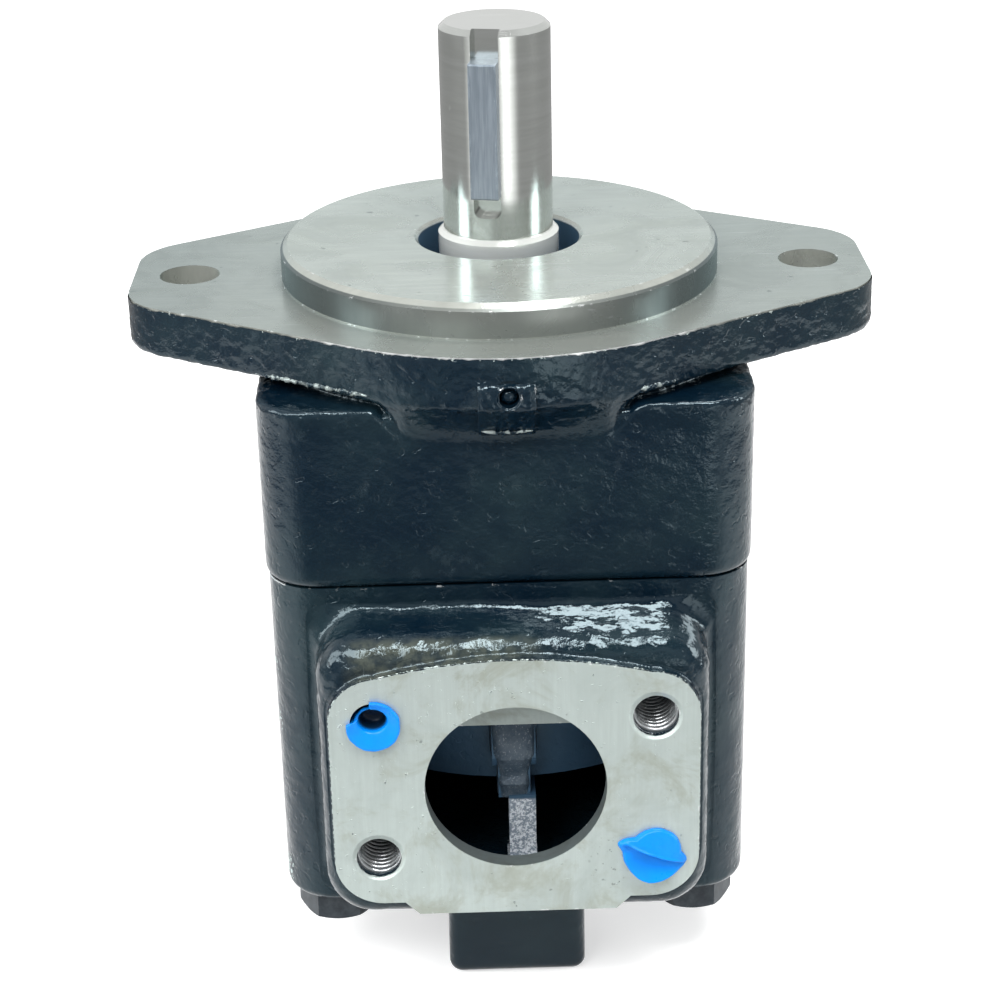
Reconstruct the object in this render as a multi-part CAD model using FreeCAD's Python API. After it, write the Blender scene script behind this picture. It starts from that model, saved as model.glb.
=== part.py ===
import FreeCAD, Part
import math
import os

os.makedirs("parts", exist_ok=True)
V = FreeCAD.Vector

# Hydraulic vane pump. Millimetres. The origin is the centre of the mounting face on the
# shaft axis, +Z runs along the shaft to its free end, and the suction port faces -Y.

# Shaft and its key
shaft_end_z = 72.5
shaft_r = 15.875
shaft_chamfer = 1.6
collar_top_z = 12.7
collar_step = 1.625
collar_r = shaft_r + collar_step
collar_chamfer = 1.2
key_width = 7.94
key_length = 38.5
key_end_gap = 8.2
key_top_z = shaft_end_z - key_end_gap
key_proud = 3.9
key_chamfer = 0.4
keyway_depth = 4.0
keyway_corner_r = 2.38
keyway_low_z = 19.2
key_direction_deg = -102.0
spline_root_r = 14.5
spline_tooth_height = 1.5
spline_tip_r = spline_root_r + spline_tooth_height
spline_teeth = 12
spline_tooth_share = 0.98
spline_tooth_root = 2.0
spline_run = 4.0
spline_run_out = 2.0
spline_shoulder = 1.0
rear_journal_r = 12.5
rear_journal_chamfer = 1.0
bush_wall = 2.0
bush_length = 17.0
bush_top_gap = 1.0
running_clearance = 0.03

# Front ball bearing and its circlips
bearing_top_z = -14.0
bearing_width = 17.0
bearing_section = 18.5
bearing_outer_r = collar_r + bearing_section
bearing_pitch_r = (collar_r + bearing_outer_r) / 2
bearing_ball_share = 0.3
bearing_ball_r = bearing_ball_share * bearing_section
bearing_ball_count = 9
race_shoulder_share = 0.72
race_clearance = 0.1
cage_half_thickness = 1.1
cage_half_height = 6.8
bearing_shoulder_step = 3.5
bearing_shoulder_r = collar_r + bearing_shoulder_step
circlip_width = 1.75
circlip_depth = 1.8
circlip_height = 2.5
circlip_gap_half = 3.0

# Shaft seal
seal_height = 6.0
seal_outer_r = collar_r + seal_height
seal_top_z = -2.0
seal_width = 7.0
seal_wall = 1.0
seal_lid = 4.0
seal_lip_clearance = 0.05
seal_lip_height = 0.6
seal_lip_edge_z = 3.9
seal_lip_half_width = 0.7
seal_spring_seat = 1.6
seal_spring_top_z = 2.6
seal_hinge = 3.0
seal_spring_r = 0.7
seal_spring_z = 3.8
seal_mouth_chamfer = 1.0

# Rotor, vanes and pins, from the spline outwards
vane_count = 10
vane_first_deg = 9.0
vane_thickness = 2.4
vane_slot_clearance = 0.05
vane_height = 14.0
vane_end_clearance = 0.1
vane_tip_groove = 0.5
slot_root_relief_r = 2.2
slot_root_gap = 1.5
pin_r = 2.3
pin_length = 8.4
pin_clearance = 0.06
pin_bore_gap = 0.9
rotor_hub_wall = 1.1
rotor_r = spline_tip_r + rotor_hub_wall + pin_bore_gap + pin_length + vane_height
slot_root_r = rotor_r - vane_height - slot_root_gap
side_clearance = 0.05

# Cam ring and port plates
cam_gap = 0.6
cam_lift = 5.0
cam_minor_r = rotor_r + cam_gap
cam_major_r = cam_minor_r + cam_lift
cam_lobe_deg = 45.0
cam_point_step_deg = 6
cam_width = 46.0
front_plate_top_z = -38.0
front_plate_thickness = 15.0
rear_plate_thickness = 15.0
cam_top_z = front_plate_top_z - front_plate_thickness
cam_low_z = cam_top_z - cam_width
rear_plate_low_z = cam_low_z - rear_plate_thickness
kidney_lap = 0.4
kidney_inner_r = rotor_r - kidney_lap
kidney_outer_r = cam_major_r
kidney_half_deg = 24.0
kidney_depth = 6.0
plate_bore_step = 4.0
plate_bore_r = spline_tip_r + plate_bore_step
dowel_r = 3.0
dowel_wall = 2.5
dowel_circle_r = cam_major_r + dowel_wall + dowel_r
dowel_deg = 90.0
dowel_low_gap = 1.0
dowel_top_gap = 3.0
cartridge_wall = 2.5
cartridge_r = dowel_circle_r + dowel_r + cartridge_wall
cartridge_clearance = 0.1
cartridge_screw_r = 3.0
cartridge_screw_head_r = 5.0
cartridge_screw_head = 6.0
cartridge_screw_head_gap = 0.3
cartridge_screw_socket_r = 2.9
cartridge_screw_socket_depth = 3.2
cartridge_screw_top_gap = 4.0
cartridge_screw_deg = 0.0
seal_section = 2.6
seal_depth = 2.34
hub_seal_r = (bearing_outer_r + kidney_inner_r) / 2
plate_seal_inset = 3.5
plate_seal_r = cartridge_r - plate_seal_inset
body_seal_gap = 4.2
body_seal_r = cartridge_r + body_seal_gap

# Body bolts, outside the cartridge bore
body_bolt_r = 7.0
body_bolt_web = 10.95
body_bolt_offset = (cartridge_r + body_bolt_web + body_bolt_r) / math.sqrt(2)
body_bolt_flats = 21.0
body_bolt_head = 8.8
body_bolt_bevel = 1.7
body_bolt_hole_top_z = -42.0
body_bolt_end_gap = 3.0
body_bolt_clearance = 0.5

# Cast body, a square with rounded corners under the flange
body_bolt_inset = 15.5
body_half = body_bolt_offset + body_bolt_inset
body_corner_r = 15.0
body_top_z = -19.0
body_edge_r = 2.5
joint_z = -70.3
neck_r = 68.2
neck_fillet_r = 12.0

# Mounting flange and pilot
flange_thickness = 14.0
flange_arc_r = 77.0
flange_ear_r = 20.0
flange_ear_half = 13.037
flange_ear_reach = 16.2
flange_edge_r = 3.0
mount_bolt_spacing = 181.0
mount_bolt_hole_r = 8.75
flange_half_length = mount_bolt_spacing / 2 + flange_ear_reach
pilot_r = 63.5
pilot_height = 10.0
pilot_chamfer = 2.0

# Gallery boss in the front of the neck
boss_rise = 8.3
boss_face_y = -(body_half + boss_rise)
boss_width = 15.0
boss_root = 10.0
boss_slope = 6.0
boss_top_z = -7.5
boss_face_low_z = -14.5
boss_low_z = -24.0
boss_edge_r = 1.2
gallery_hole_r = 2.6
gallery_hole_x = 0.6
gallery_hole_z = -11.2
gallery_hole_depth = 12.0
gallery_ball_depth = 2.1
gallery_ball_clearance = 0.05

# Pressure port on the rear side of the housing
pressure_rise = 7.5
pressure_face_y = body_half + pressure_rise
pressure_pad_root = 4.0
pressure_z = -42.0
pressure_bore_r = 15.9
pressure_bore_depth = 12.0
pressure_bolt_x = 58.7
pressure_bolt_z = 30.2
pressure_thread_r = 5.6
pressure_thread_depth = 17.0
pressure_pad_half = 42.0
pressure_pad_half_height = 27.0
pressure_pad_corner_r = 12.0
pressure_channel_half = 13.0
pressure_channel_height = 7.0
discharge_ring_width = 2.0
discharge_overlap = 4.0

# End cap, its barrel round the cartridge and the suction chamber below
web_thickness = 8.0
hub_r = 21.0
barrel_step = 5.0
barrel_outer_r = cartridge_r + barrel_step
barrel_wall = 9.0
barrel_tail = 21.5
barrel_low_z = rear_plate_low_z - barrel_tail
shaft_low_gap = 1.5
shaft_low_z = barrel_low_z + shaft_low_gap
chamber_wall = 12.0
chamber_r = barrel_outer_r - chamber_wall
chamber_height = 27.5
chamber_floor_z = barrel_low_z - chamber_height
cap_floor = 10.0
cap_rear_z = chamber_floor_z - cap_floor
cap_inset = 0.5
cap_half = body_half - cap_inset
cap_edge_r = 3.0
cap_band_depth = 6.0
cap_recess_depth = 5.0
cap_recess_half = 36.0
cap_recess_edge_r = 4.0
cap_recess_low_gap = 12.0
tongue_half_width = 19.5
tongue_drop = 8.7
tongue_root = 2.0
foot_half_width = 20.5
foot_height = 30.0
foot_root = 5.0
foot_front_inset = 4.5
foot_rear_inset = 6.5
foot_corner_r = 4.0
foot_edge_r = 3.6

# Suction port, four bolt flange pattern on the end cap
suction_reach = 23.7
suction_face_y = -(body_half + suction_reach)
suction_drop = 22.6
suction_z = cam_low_z - suction_drop
suction_bore_r = 25.4
suction_bore_depth = 5.6
suction_bolt_x = 77.8
suction_bolt_z = 42.9
suction_thread_r = 6.35
suction_thread_depth = 25.0
suction_pad_half = 51.2
suction_pad_corner_r = 13.5
suction_pad_crown = 4.6
suction_pad_low_drop = 1.5
suction_pad_step_half = 28.0
suction_pad_step = 4.0
port_neck_half = 54.2
port_neck_up = 44.1
port_neck_down = 43.9
port_neck_round = 8.0
port_neck_root = 10.0
port_pad_rise = 3.0
passage_half = 28.0
passage_up = 17.0
passage_end_y = -20.0
passage_round = 8.0
rib_half = 6.3
rib_reach = 8.5
rib_root = 4.0
rib_top_drop = 6.0
rib_top_slope = 2.0
rib_lean = 5.0
rib_ledge_drop = 14.0
rib_ledge_thickness = 4.0
rib_ledge_lean = 3.0
rib_step_half = 4.6
rib_step_inset = 2.0
rib_step_drop = 14.0
post_half = 3.9
post_shift_x = 2.2
post_inset = 1.0
post_depth = 6.0

# Blue thread plugs
plug_thread_clearance = 0.1
plug_stem_r = suction_thread_r - plug_thread_clearance
plug_stem_length = 9.0
ring_plug_head_r = 7.6
ring_plug_head = 1.6
ring_plug_wall = 1.65
ring_plug_floor = 1.2
flap_plug_head_r = 9.2
flap_plug_head = 1.4
flap_height = 3.2
flap_thickness = 1.8
flap_inset = 1.0
flap_deg = 24.0
plug_face_gap = 0.3


# Basic shapes
def cylinder(radius, low, high, x=0.0, y=0.0):
    return Part.makeCylinder(radius, high - low, V(x, y, low))


def cylinder_along_y(radius, low, high, x, z):
    return Part.makeCylinder(radius, high - low, V(x, low, z), V(0, 1, 0))


def tube(outer, inner, low, high):
    return cylinder(outer, low, high).cut(cylinder(inner, low - 1, high + 1))


def block(x0, x1, y0, y1, z0, z1):
    return Part.makeBox(x1 - x0, y1 - y0, z1 - z0, V(x0, y0, z0))


def revolved(points):
    corners = [V(r, 0, z) for r, z in points]
    face = Part.Face(Part.makePolygon(corners + corners[:1]))
    return face.revolve(V(0, 0, 0), V(0, 0, 1), 360)


def turned(shape, degrees):
    copy = shape.copy()
    copy.rotate(V(0, 0, 0), V(0, 0, 1), degrees)
    return copy


def polar(radius, degrees, z=0.0):
    angle = math.radians(degrees)
    return V(radius * math.cos(angle), radius * math.sin(angle), z)


def fused(shapes):
    return shapes[0].multiFuse(shapes[1:]).removeSplitter()


def save(name, shape):
    shape.exportStep("parts/" + name + ".step")
    print(name, len(shape.Solids), round(shape.Volume / 1000, 2), "cm3")


def rounded_rectangle(half_x, half_y, radius, low, high):
    """Prism along Z with rounded corners."""
    core = block(-half_x, half_x, -half_y, half_y, low, high)
    edges = [e for e in core.Edges if abs(e.tangentAt(e.FirstParameter).z) > 0.9]
    return core.makeFillet(radius, edges)


def edges_at(shape, axis, value):
    """Edges that lie wholly on one plane across an axis."""
    found = []
    for edge in shape.Edges:
        box = edge.BoundBox
        low = getattr(box, axis + "Min")
        high = getattr(box, axis + "Max")
        if abs(low - value) < 0.01 and abs(high - value) < 0.01:
            found.append(edge)
    return found


def hexagon(flats, low, high, x, y):
    corner_r = flats / math.sqrt(3)
    corners = [V(x, y, low) + polar(corner_r, 60 * i) for i in range(7)]
    return Part.Face(Part.makePolygon(corners)).extrude(V(0, 0, high - low))


def four(x, y):
    return [(sx * x, sy * y) for sx in (-1, 1) for sy in (-1, 1)]


# Mounting flange
def flange_plate():
    """Rhombic plate: wide arcs front and rear, sides tangent to them and rounded ear corners."""
    centre = V(flange_half_length - flange_ear_r, flange_ear_half, 0)
    normal = math.atan2(centre.y, centre.x) + math.acos((flange_arc_r - flange_ear_r) / centre.Length)
    outward = V(math.cos(normal), math.sin(normal), 0)
    touch = outward * flange_arc_r
    start = centre + outward * flange_ear_r
    end = centre + V(flange_ear_r, 0, 0)
    middle = centre + V(math.cos(normal / 2), math.sin(normal / 2), 0) * flange_ear_r
    edges = []

    def flip(point, sx, sy):
        return V(point.x * sx, point.y * sy, 0)

    for sx, sy in ((1, 1), (1, -1), (-1, -1), (-1, 1)):
        edges.append(Part.makeLine(flip(touch, sx, sy), flip(start, sx, sy)))
        bend = Part.Arc(flip(start, sx, sy), flip(middle, sx, sy), flip(end, sx, sy))
        edges.append(bend.toShape())
    for side in (1, -1):
        edges.append(Part.makeLine(V(side * end.x, end.y, 0), V(side * end.x, -end.y, 0)))
        top = V(0, side * flange_arc_r, 0)
        wide = Part.Arc(V(-touch.x, side * touch.y, 0), top, V(touch.x, side * touch.y, 0))
        edges.append(wide.toShape())
    outline = Part.Wire(Part.__sortEdges__(edges))
    return Part.Face(outline)


def neck():
    """Concave round neck that carries the flange on the square body, cut to the flange outline."""
    top = -flange_thickness + 1.0
    centre_r = neck_r + neck_fillet_r
    centre_z = -flange_thickness - neck_fillet_r
    diagonal = neck_fillet_r / math.sqrt(2)
    arc = Part.Arc(V(centre_r, 0, -flange_thickness), V(centre_r - diagonal, 0, centre_z + diagonal),
                   V(neck_r, 0, centre_z)).toShape()
    sides = Part.makePolygon([V(neck_r, 0, centre_z), V(0, 0, centre_z), V(0, 0, top),
                              V(centre_r, 0, top), V(centre_r, 0, -flange_thickness)])
    profile = Part.Face(Part.Wire([arc] + sides.Edges))
    solid = profile.revolve(V(0, 0, 0), V(0, 0, 1), 360)
    limit = flange_plate().extrude(V(0, 0, centre_z - 1))
    return solid.common(limit)


def gallery_boss():
    half = boss_width / 2
    back_y = boss_face_y + boss_root
    corners = [V(-half, back_y, boss_top_z), V(-half, boss_face_y, boss_top_z),
               V(-half, boss_face_y, boss_face_low_z), V(-half, boss_face_y + boss_slope, boss_low_z),
               V(-half, back_y, boss_low_z)]
    solid = Part.Face(Part.makePolygon(corners + corners[:1])).extrude(V(boss_width, 0, 0))
    edges = [e for e in solid.Edges if e.BoundBox.YMin < back_y - 1 and e.BoundBox.XLength < 0.01]
    return solid.makeFillet(boss_edge_r, edges)


def pressure_pad():
    solid = rounded_rectangle(pressure_pad_half, pressure_pad_half_height, pressure_pad_corner_r,
                              0, pressure_rise + pressure_pad_root)
    solid.rotate(V(0, 0, 0), V(1, 0, 0), -90)
    solid.translate(V(0, body_half - pressure_pad_root, pressure_z))
    return solid


# Front housing
def front_housing():
    plate = flange_plate().extrude(V(0, 0, -flange_thickness))
    plate = plate.makeFillet(flange_edge_r, edges_at(plate, "Z", -flange_thickness))
    pilot = revolved([(0, -1), (pilot_r, -1), (pilot_r, pilot_height - pilot_chamfer),
                      (pilot_r - pilot_chamfer, pilot_height), (0, pilot_height)])
    body = rounded_rectangle(body_half, body_half, body_corner_r, joint_z, body_top_z)
    body = body.makeFillet(body_edge_r, edges_at(body, "Z", body_top_z) + edges_at(body, "Z", joint_z))
    solid = fused([plate, pilot, body, neck(), gallery_boss(), pressure_pad()])
    cuts = [cylinder(cartridge_r, joint_z - 1, front_plate_top_z)]
    # Stepped bore for the bearing, its circlip and the shaft seal
    bearing_low_z = bearing_top_z - bearing_width
    clip_low_z = bearing_low_z - circlip_width
    cuts.append(cylinder(bearing_outer_r, front_plate_top_z - 1, bearing_top_z))
    cuts.append(cylinder(bearing_outer_r + circlip_depth, clip_low_z, bearing_low_z))
    cuts.append(cylinder(bearing_shoulder_r, bearing_top_z - 1, pilot_height))
    cuts.append(cylinder(seal_outer_r, seal_top_z - seal_width, pilot_height + 1))
    mouth_low_z = pilot_height - seal_mouth_chamfer
    seal_mouth_r = seal_outer_r + seal_mouth_chamfer
    cuts.append(revolved([(0, mouth_low_z), (seal_outer_r, mouth_low_z), (seal_mouth_r, pilot_height),
                          (seal_mouth_r, pilot_height + 1), (0, pilot_height + 1)]))
    # Discharge ring over the front plate, the channel to the port and the port bore
    channel_top_z = front_plate_top_z + pressure_channel_height
    bore_low_y = pressure_face_y - pressure_bore_depth
    cuts.append(tube(kidney_outer_r + discharge_ring_width, kidney_inner_r,
                     front_plate_top_z - 1, channel_top_z))
    cuts.append(block(-pressure_channel_half, pressure_channel_half, kidney_outer_r - discharge_overlap,
                      bore_low_y + 1, front_plate_top_z, channel_top_z))
    cuts.append(cylinder_along_y(pressure_bore_r, bore_low_y, pressure_face_y + 1, 0, pressure_z))
    for x, z in four(pressure_bolt_x / 2, pressure_bolt_z / 2):
        cuts.append(cylinder_along_y(pressure_thread_r, pressure_face_y - pressure_thread_depth,
                                     pressure_face_y + 1, x, pressure_z + z))
    for side in (-1, 1):
        cuts.append(cylinder(mount_bolt_hole_r, -flange_thickness - 1, 1, side * mount_bolt_spacing / 2))
    for x, y in four(body_bolt_offset, body_bolt_offset):
        cuts.append(cylinder(body_bolt_r, joint_z - 1, body_bolt_hole_top_z, x, y))
    cuts.append(cylinder_along_y(gallery_hole_r, boss_face_y - 1, boss_face_y + gallery_hole_depth,
                                 gallery_hole_x, gallery_hole_z))
    return solid.cut(Part.makeCompound(cuts))


# End cap
def suction_pad_face():
    """Pad outline on the port face: rounded corners, a crowned top and a stepped flat bottom."""
    half = suction_pad_half
    radius = suction_pad_corner_r
    top = suction_z + suction_bolt_z / 2 + radius
    low = suction_z - suction_bolt_z / 2 - radius - suction_pad_low_drop
    crown = top + suction_pad_crown
    lean = radius / math.sqrt(2)

    def point(x, z):
        return V(x, suction_face_y, z)

    def corner(sx, z, sz):
        bend_x = sx * (half - radius + lean)
        bend_z = z - sz * (radius - lean)
        return Part.Arc(point(sx * half, z - sz * radius), point(bend_x, bend_z),
                        point(sx * (half - radius), z)).toShape()

    step = suction_pad_step
    foot = suction_pad_step_half
    edges = [corner(-1, top, 1), corner(1, top, 1), corner(-1, low, -1), corner(1, low, -1)]
    crown_arc = Part.Arc(point(radius - half, top), point(0, crown), point(half - radius, top))
    edges.append(crown_arc.toShape())
    for side in (-1, 1):
        edges.append(Part.makeLine(point(side * half, top - radius), point(side * half, low + radius)))
        edges.append(Part.makeLine(point(side * (half - radius), low), point(side * (foot + step), low)))
        edges.append(Part.makeLine(point(side * (foot + step), low), point(side * foot, low - step)))
    edges.append(Part.makeLine(point(-foot, low - step), point(foot, low - step)))
    return Part.Face(Part.Wire(Part.__sortEdges__(edges)))


def suction_neck():
    """Port neck that swells from the machined pad back to the cap."""
    pad = suction_pad_face()
    depth = suction_reach + port_neck_root
    straight = pad.extrude(V(0, depth, 0))
    half_height = (port_neck_up + port_neck_down) / 2
    swell = rounded_rectangle(port_neck_half, half_height, suction_pad_corner_r, 0, depth - port_pad_rise)
    swell.rotate(V(0, 0, 0), V(1, 0, 0), -90)
    swell.translate(V(0, suction_face_y + port_pad_rise, suction_z + port_neck_up - half_height))
    swell = swell.makeFillet(port_neck_round, edges_at(swell, "Y", suction_face_y + port_pad_rise))
    return [straight, swell]


def cap_body():
    solid = rounded_rectangle(cap_half, cap_half, body_corner_r, cap_rear_z, joint_z)
    solid = solid.makeFillet(cap_edge_r, edges_at(solid, "Z", cap_rear_z))
    # Shallow recesses between the bolt columns, below the joint band
    pocket = rounded_rectangle(cap_recess_half, cap_recess_depth * 2, cap_recess_edge_r,
                               cap_rear_z + cap_recess_low_gap, joint_z - cap_band_depth)
    for angle in (0, 90, 270):
        recess = pocket.copy()
        recess.translate(V(0, cap_half + cap_recess_depth, 0))
        solid = solid.cut(turned(recess, angle))
    # The front side is open between its bolt columns, where the port neck stands
    front = block(-port_neck_half, port_neck_half, -cap_half - 1, -cap_half + cap_recess_depth,
                  cap_rear_z + cap_recess_low_gap, joint_z - cap_band_depth)
    return solid.cut(front)


def tongue():
    """Half moon tongue of the joint band over the port neck."""
    radius = (tongue_half_width ** 2 + tongue_drop ** 2) / (2 * tongue_drop)
    low_z = joint_z - tongue_drop
    back_y = -cap_half + cap_recess_depth + tongue_root
    disc = cylinder_along_y(radius, -cap_half, back_y, 0, low_z + radius)
    limit = block(-radius, radius, -cap_half, 0, low_z - 1, joint_z)
    return disc.common(limit)


def suction_rib():
    """Stepped rib and post on the barrel, seen through the suction port."""
    back = -barrel_outer_r + rib_root
    front = -barrel_outer_r - rib_reach
    top_z = suction_z + passage_up - rib_top_drop
    ledge_z = top_z - rib_ledge_drop
    under_z = ledge_z - rib_ledge_thickness
    low_z = ledge_z - rib_step_drop
    profile = [(back, top_z), (front + rib_lean, top_z - rib_top_slope), (front, ledge_z),
               (front + rib_ledge_lean, under_z), (back, under_z)]
    corners = [V(-rib_half, y, z) for y, z in profile]
    upper = Part.Face(Part.makePolygon(corners + corners[:1])).extrude(V(2 * rib_half, 0, 0))
    lower = block(-rib_step_half, rib_step_half, front + rib_step_inset, back, low_z, ledge_z)
    post = block(post_shift_x - post_half, post_shift_x + post_half, front + post_inset,
                 back + post_depth, chamber_floor_z - 1, low_z + 1)
    return [upper, lower, post]


def suction_cavity():
    """Passage behind the machined mouth, open to the round chamber below the barrel."""
    mouth_y = suction_face_y + suction_bore_depth
    top_z = suction_z + passage_up
    half_height = (top_z - chamber_floor_z) / 2
    passage = rounded_rectangle(passage_half, half_height, passage_round, 0, passage_end_y - mouth_y)
    passage.rotate(V(0, 0, 0), V(1, 0, 0), -90)
    passage.translate(V(0, mouth_y, chamber_floor_z + half_height))
    chamber = cylinder(chamber_r, chamber_floor_z, barrel_low_z)
    chamber = chamber.makeFillet(passage_round, edges_at(chamber, "Z", chamber_floor_z))
    barrel = cylinder(barrel_outer_r, barrel_low_z, joint_z)
    passage = passage.cut(barrel)
    return passage.fuse(chamber)


def web_windows():
    """Two kidney windows from the chamber to the inlet side of the cartridge."""
    low = rear_plate_low_z - web_thickness - 1
    high = rear_plate_low_z + 1
    return [kidney(cam_lobe_deg + 180 * i - 45, low, high) for i in range(2)]


def end_cap():
    solid = fused([cap_body(), tongue()] + suction_neck() + [foot()])
    solid = solid.cut(suction_cavity())
    low = rear_plate_low_z
    skirt = cylinder(barrel_outer_r - barrel_wall, barrel_low_z - 1, low - web_thickness)
    solid = solid.cut(skirt)
    hub = cylinder(hub_r, barrel_low_z, low - web_thickness + 1)
    solid = fused([solid, hub] + suction_rib())
    cuts = [cylinder(cartridge_r, low, joint_z + 1)]
    cuts.append(cylinder(rear_journal_r + bush_wall, barrel_low_z - 1, low + 1))
    cuts.extend(web_windows())
    cuts.append(groove(body_seal_r, joint_z - seal_depth, joint_z + 1))
    mouth_y = suction_face_y + suction_bore_depth
    cuts.append(cylinder_along_y(suction_bore_r, suction_face_y - 1, mouth_y, 0, suction_z))
    for x, z in four(suction_bolt_x / 2, suction_bolt_z / 2):
        cuts.append(cylinder_along_y(suction_thread_r, suction_face_y - 1,
                                     suction_face_y + suction_thread_depth, x, suction_z + z))
    for x, y in four(body_bolt_offset, body_bolt_offset):
        cuts.append(cylinder(body_bolt_r + body_bolt_clearance, cap_rear_z - 1, joint_z + 1, x, y))
    return solid.cut(Part.makeCompound(cuts))


def foot():
    """Bar across the rear of the cap that the pump stands on."""
    front_y = foot_front_inset - body_half
    rear_y = body_half - foot_rear_inset
    low_z = cap_rear_z - foot_height
    solid = rounded_rectangle(foot_half_width, (rear_y - front_y) / 2, foot_corner_r,
                              low_z, cap_rear_z + foot_root)
    solid = solid.makeFillet(foot_edge_r, edges_at(solid, "Z", low_z))
    solid.translate(V(0, (rear_y + front_y) / 2, 0))
    return solid


def body_bolts():
    bolts = []
    for x, y in four(body_bolt_offset, body_bolt_offset):
        shank = cylinder(body_bolt_r, cap_rear_z - 1, body_bolt_hole_top_z - body_bolt_end_gap, x, y)
        low = cap_rear_z - body_bolt_head
        head = hexagon(body_bolt_flats, low, cap_rear_z, x, y)
        bevel = Part.makeCone(body_bolt_flats / 2, body_bolt_flats / 2 + body_bolt_head * body_bolt_bevel,
                              body_bolt_head, V(x, y, low))
        bolts.append(shank.fuse(head.common(bevel)))
    return Part.makeCompound(bolts)


def gallery_plug():
    centre = V(gallery_hole_x, boss_face_y + gallery_ball_depth, gallery_hole_z)
    return Part.makeSphere(gallery_hole_r - gallery_ball_clearance, centre)


# Vane cartridge
def cam_radius(degrees):
    """Two lobes with flat dwells: r = minor + lift * u^2 (3 - 2u), u = (1 + cos 2(angle - lobe)) / 2."""
    u = (1 + math.cos(2 * math.radians(degrees - cam_lobe_deg))) / 2
    return cam_minor_r + (cam_major_r - cam_minor_r) * u * u * (3 - 2 * u)


def cam_ring():
    curve = Part.BSplineCurve()
    points = [polar(cam_radius(a), a, cam_low_z - 1) for a in range(0, 360, cam_point_step_deg)]
    curve.interpolate(points, PeriodicFlag=True)
    track = Part.Face(Part.Wire([curve.toShape()])).extrude(V(0, 0, cam_width + 2))
    ring = cylinder(cartridge_r - cartridge_clearance, cam_low_z, cam_top_z)
    return ring.cut(Part.makeCompound([track] + cartridge_holes()))


def cartridge_holes():
    low = rear_plate_low_z - 1
    dowel_top_z = front_plate_top_z - dowel_top_gap
    screw_top_z = front_plate_top_z - cartridge_screw_top_gap
    head_z = rear_plate_low_z + cartridge_screw_head
    holes = []
    for half_turn in (0, 180):
        at = polar(dowel_circle_r, dowel_deg + half_turn)
        holes.append(cylinder(dowel_r, low, dowel_top_z, at.x, at.y))
        at = polar(dowel_circle_r, cartridge_screw_deg + half_turn)
        holes.append(cylinder(cartridge_screw_r, low, screw_top_z, at.x, at.y))
        holes.append(cylinder(cartridge_screw_head_r, low, head_z, at.x, at.y))
    return holes


def kidney(centre_deg, low, high):
    """Curved slot between two radii with rounded ends."""
    mid_r = (kidney_inner_r + kidney_outer_r) / 2
    half_width = (kidney_outer_r - kidney_inner_r) / 2
    sector = Part.makeCylinder(kidney_outer_r, high - low, V(0, 0, low), V(0, 0, 1), 2 * kidney_half_deg)
    sector = turned(sector, centre_deg - kidney_half_deg)
    shape = sector.cut(cylinder(kidney_inner_r, low - 1, high + 1))
    for side in (-1, 1):
        end = polar(mid_r, centre_deg + side * kidney_half_deg)
        shape = shape.fuse(cylinder(half_width, low, high, end.x, end.y))
    return shape.removeSplitter()


def port_plate(top, low, through_deg, blind_from, blind_to):
    """Plate with two kidneys right through and two blind kidneys on the rotor side."""
    plate = cylinder(cartridge_r - cartridge_clearance, low, top)
    cuts = [cylinder(plate_bore_r, low - 1, top + 1)]
    for half_turn in (0, 180):
        cuts.append(kidney(through_deg + half_turn, low - 1, top + 1))
        cuts.append(kidney(through_deg + 90 + half_turn, blind_from, blind_to))
    return plate.cut(Part.makeCompound(cuts + cartridge_holes()))


def groove(radius, low, high):
    return tube(radius + seal_section / 2, radius - seal_section / 2, low, high)


def front_plate():
    low = cam_top_z
    plate = port_plate(front_plate_top_z, low, cam_lobe_deg + 45, low - 1, low + kidney_depth)
    floor = front_plate_top_z - seal_depth
    top = front_plate_top_z + 1
    return plate.cut(groove(hub_seal_r, floor, top)).cut(groove(plate_seal_r, floor, top))


def plate_seals():
    """Two sealing rings in the front face of the front plate."""
    floor = front_plate_top_z - seal_depth
    return [groove(radius, floor, front_plate_top_z) for radius in (hub_seal_r, plate_seal_r)]


def rear_plate():
    top = cam_low_z
    return port_plate(top, rear_plate_low_z, cam_lobe_deg - 45, top - kidney_depth, top + 1)


def cartridge_dowels():
    pins = []
    for half_turn in (0, 180):
        at = polar(dowel_circle_r, dowel_deg + half_turn)
        low = rear_plate_low_z + dowel_low_gap
        pins.append(cylinder(dowel_r, low, front_plate_top_z - dowel_top_gap, at.x, at.y))
    return Part.makeCompound(pins)


def cartridge_screws():
    screws = []
    low = rear_plate_low_z
    for half_turn in (0, 180):
        at = polar(dowel_circle_r, cartridge_screw_deg + half_turn)
        end_z = front_plate_top_z - cartridge_screw_top_gap
        shank = cylinder(cartridge_screw_r, low + 1, end_z, at.x, at.y)
        face_z = low + cartridge_screw_head_gap
        head = cylinder(cartridge_screw_head_r, face_z, low + cartridge_screw_head, at.x, at.y)
        socket = hexagon(cartridge_screw_socket_r * math.sqrt(3), low, low + cartridge_screw_socket_depth,
                         at.x, at.y)
        screws.append(shank.fuse(head).cut(socket))
    return Part.makeCompound(screws)


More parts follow.
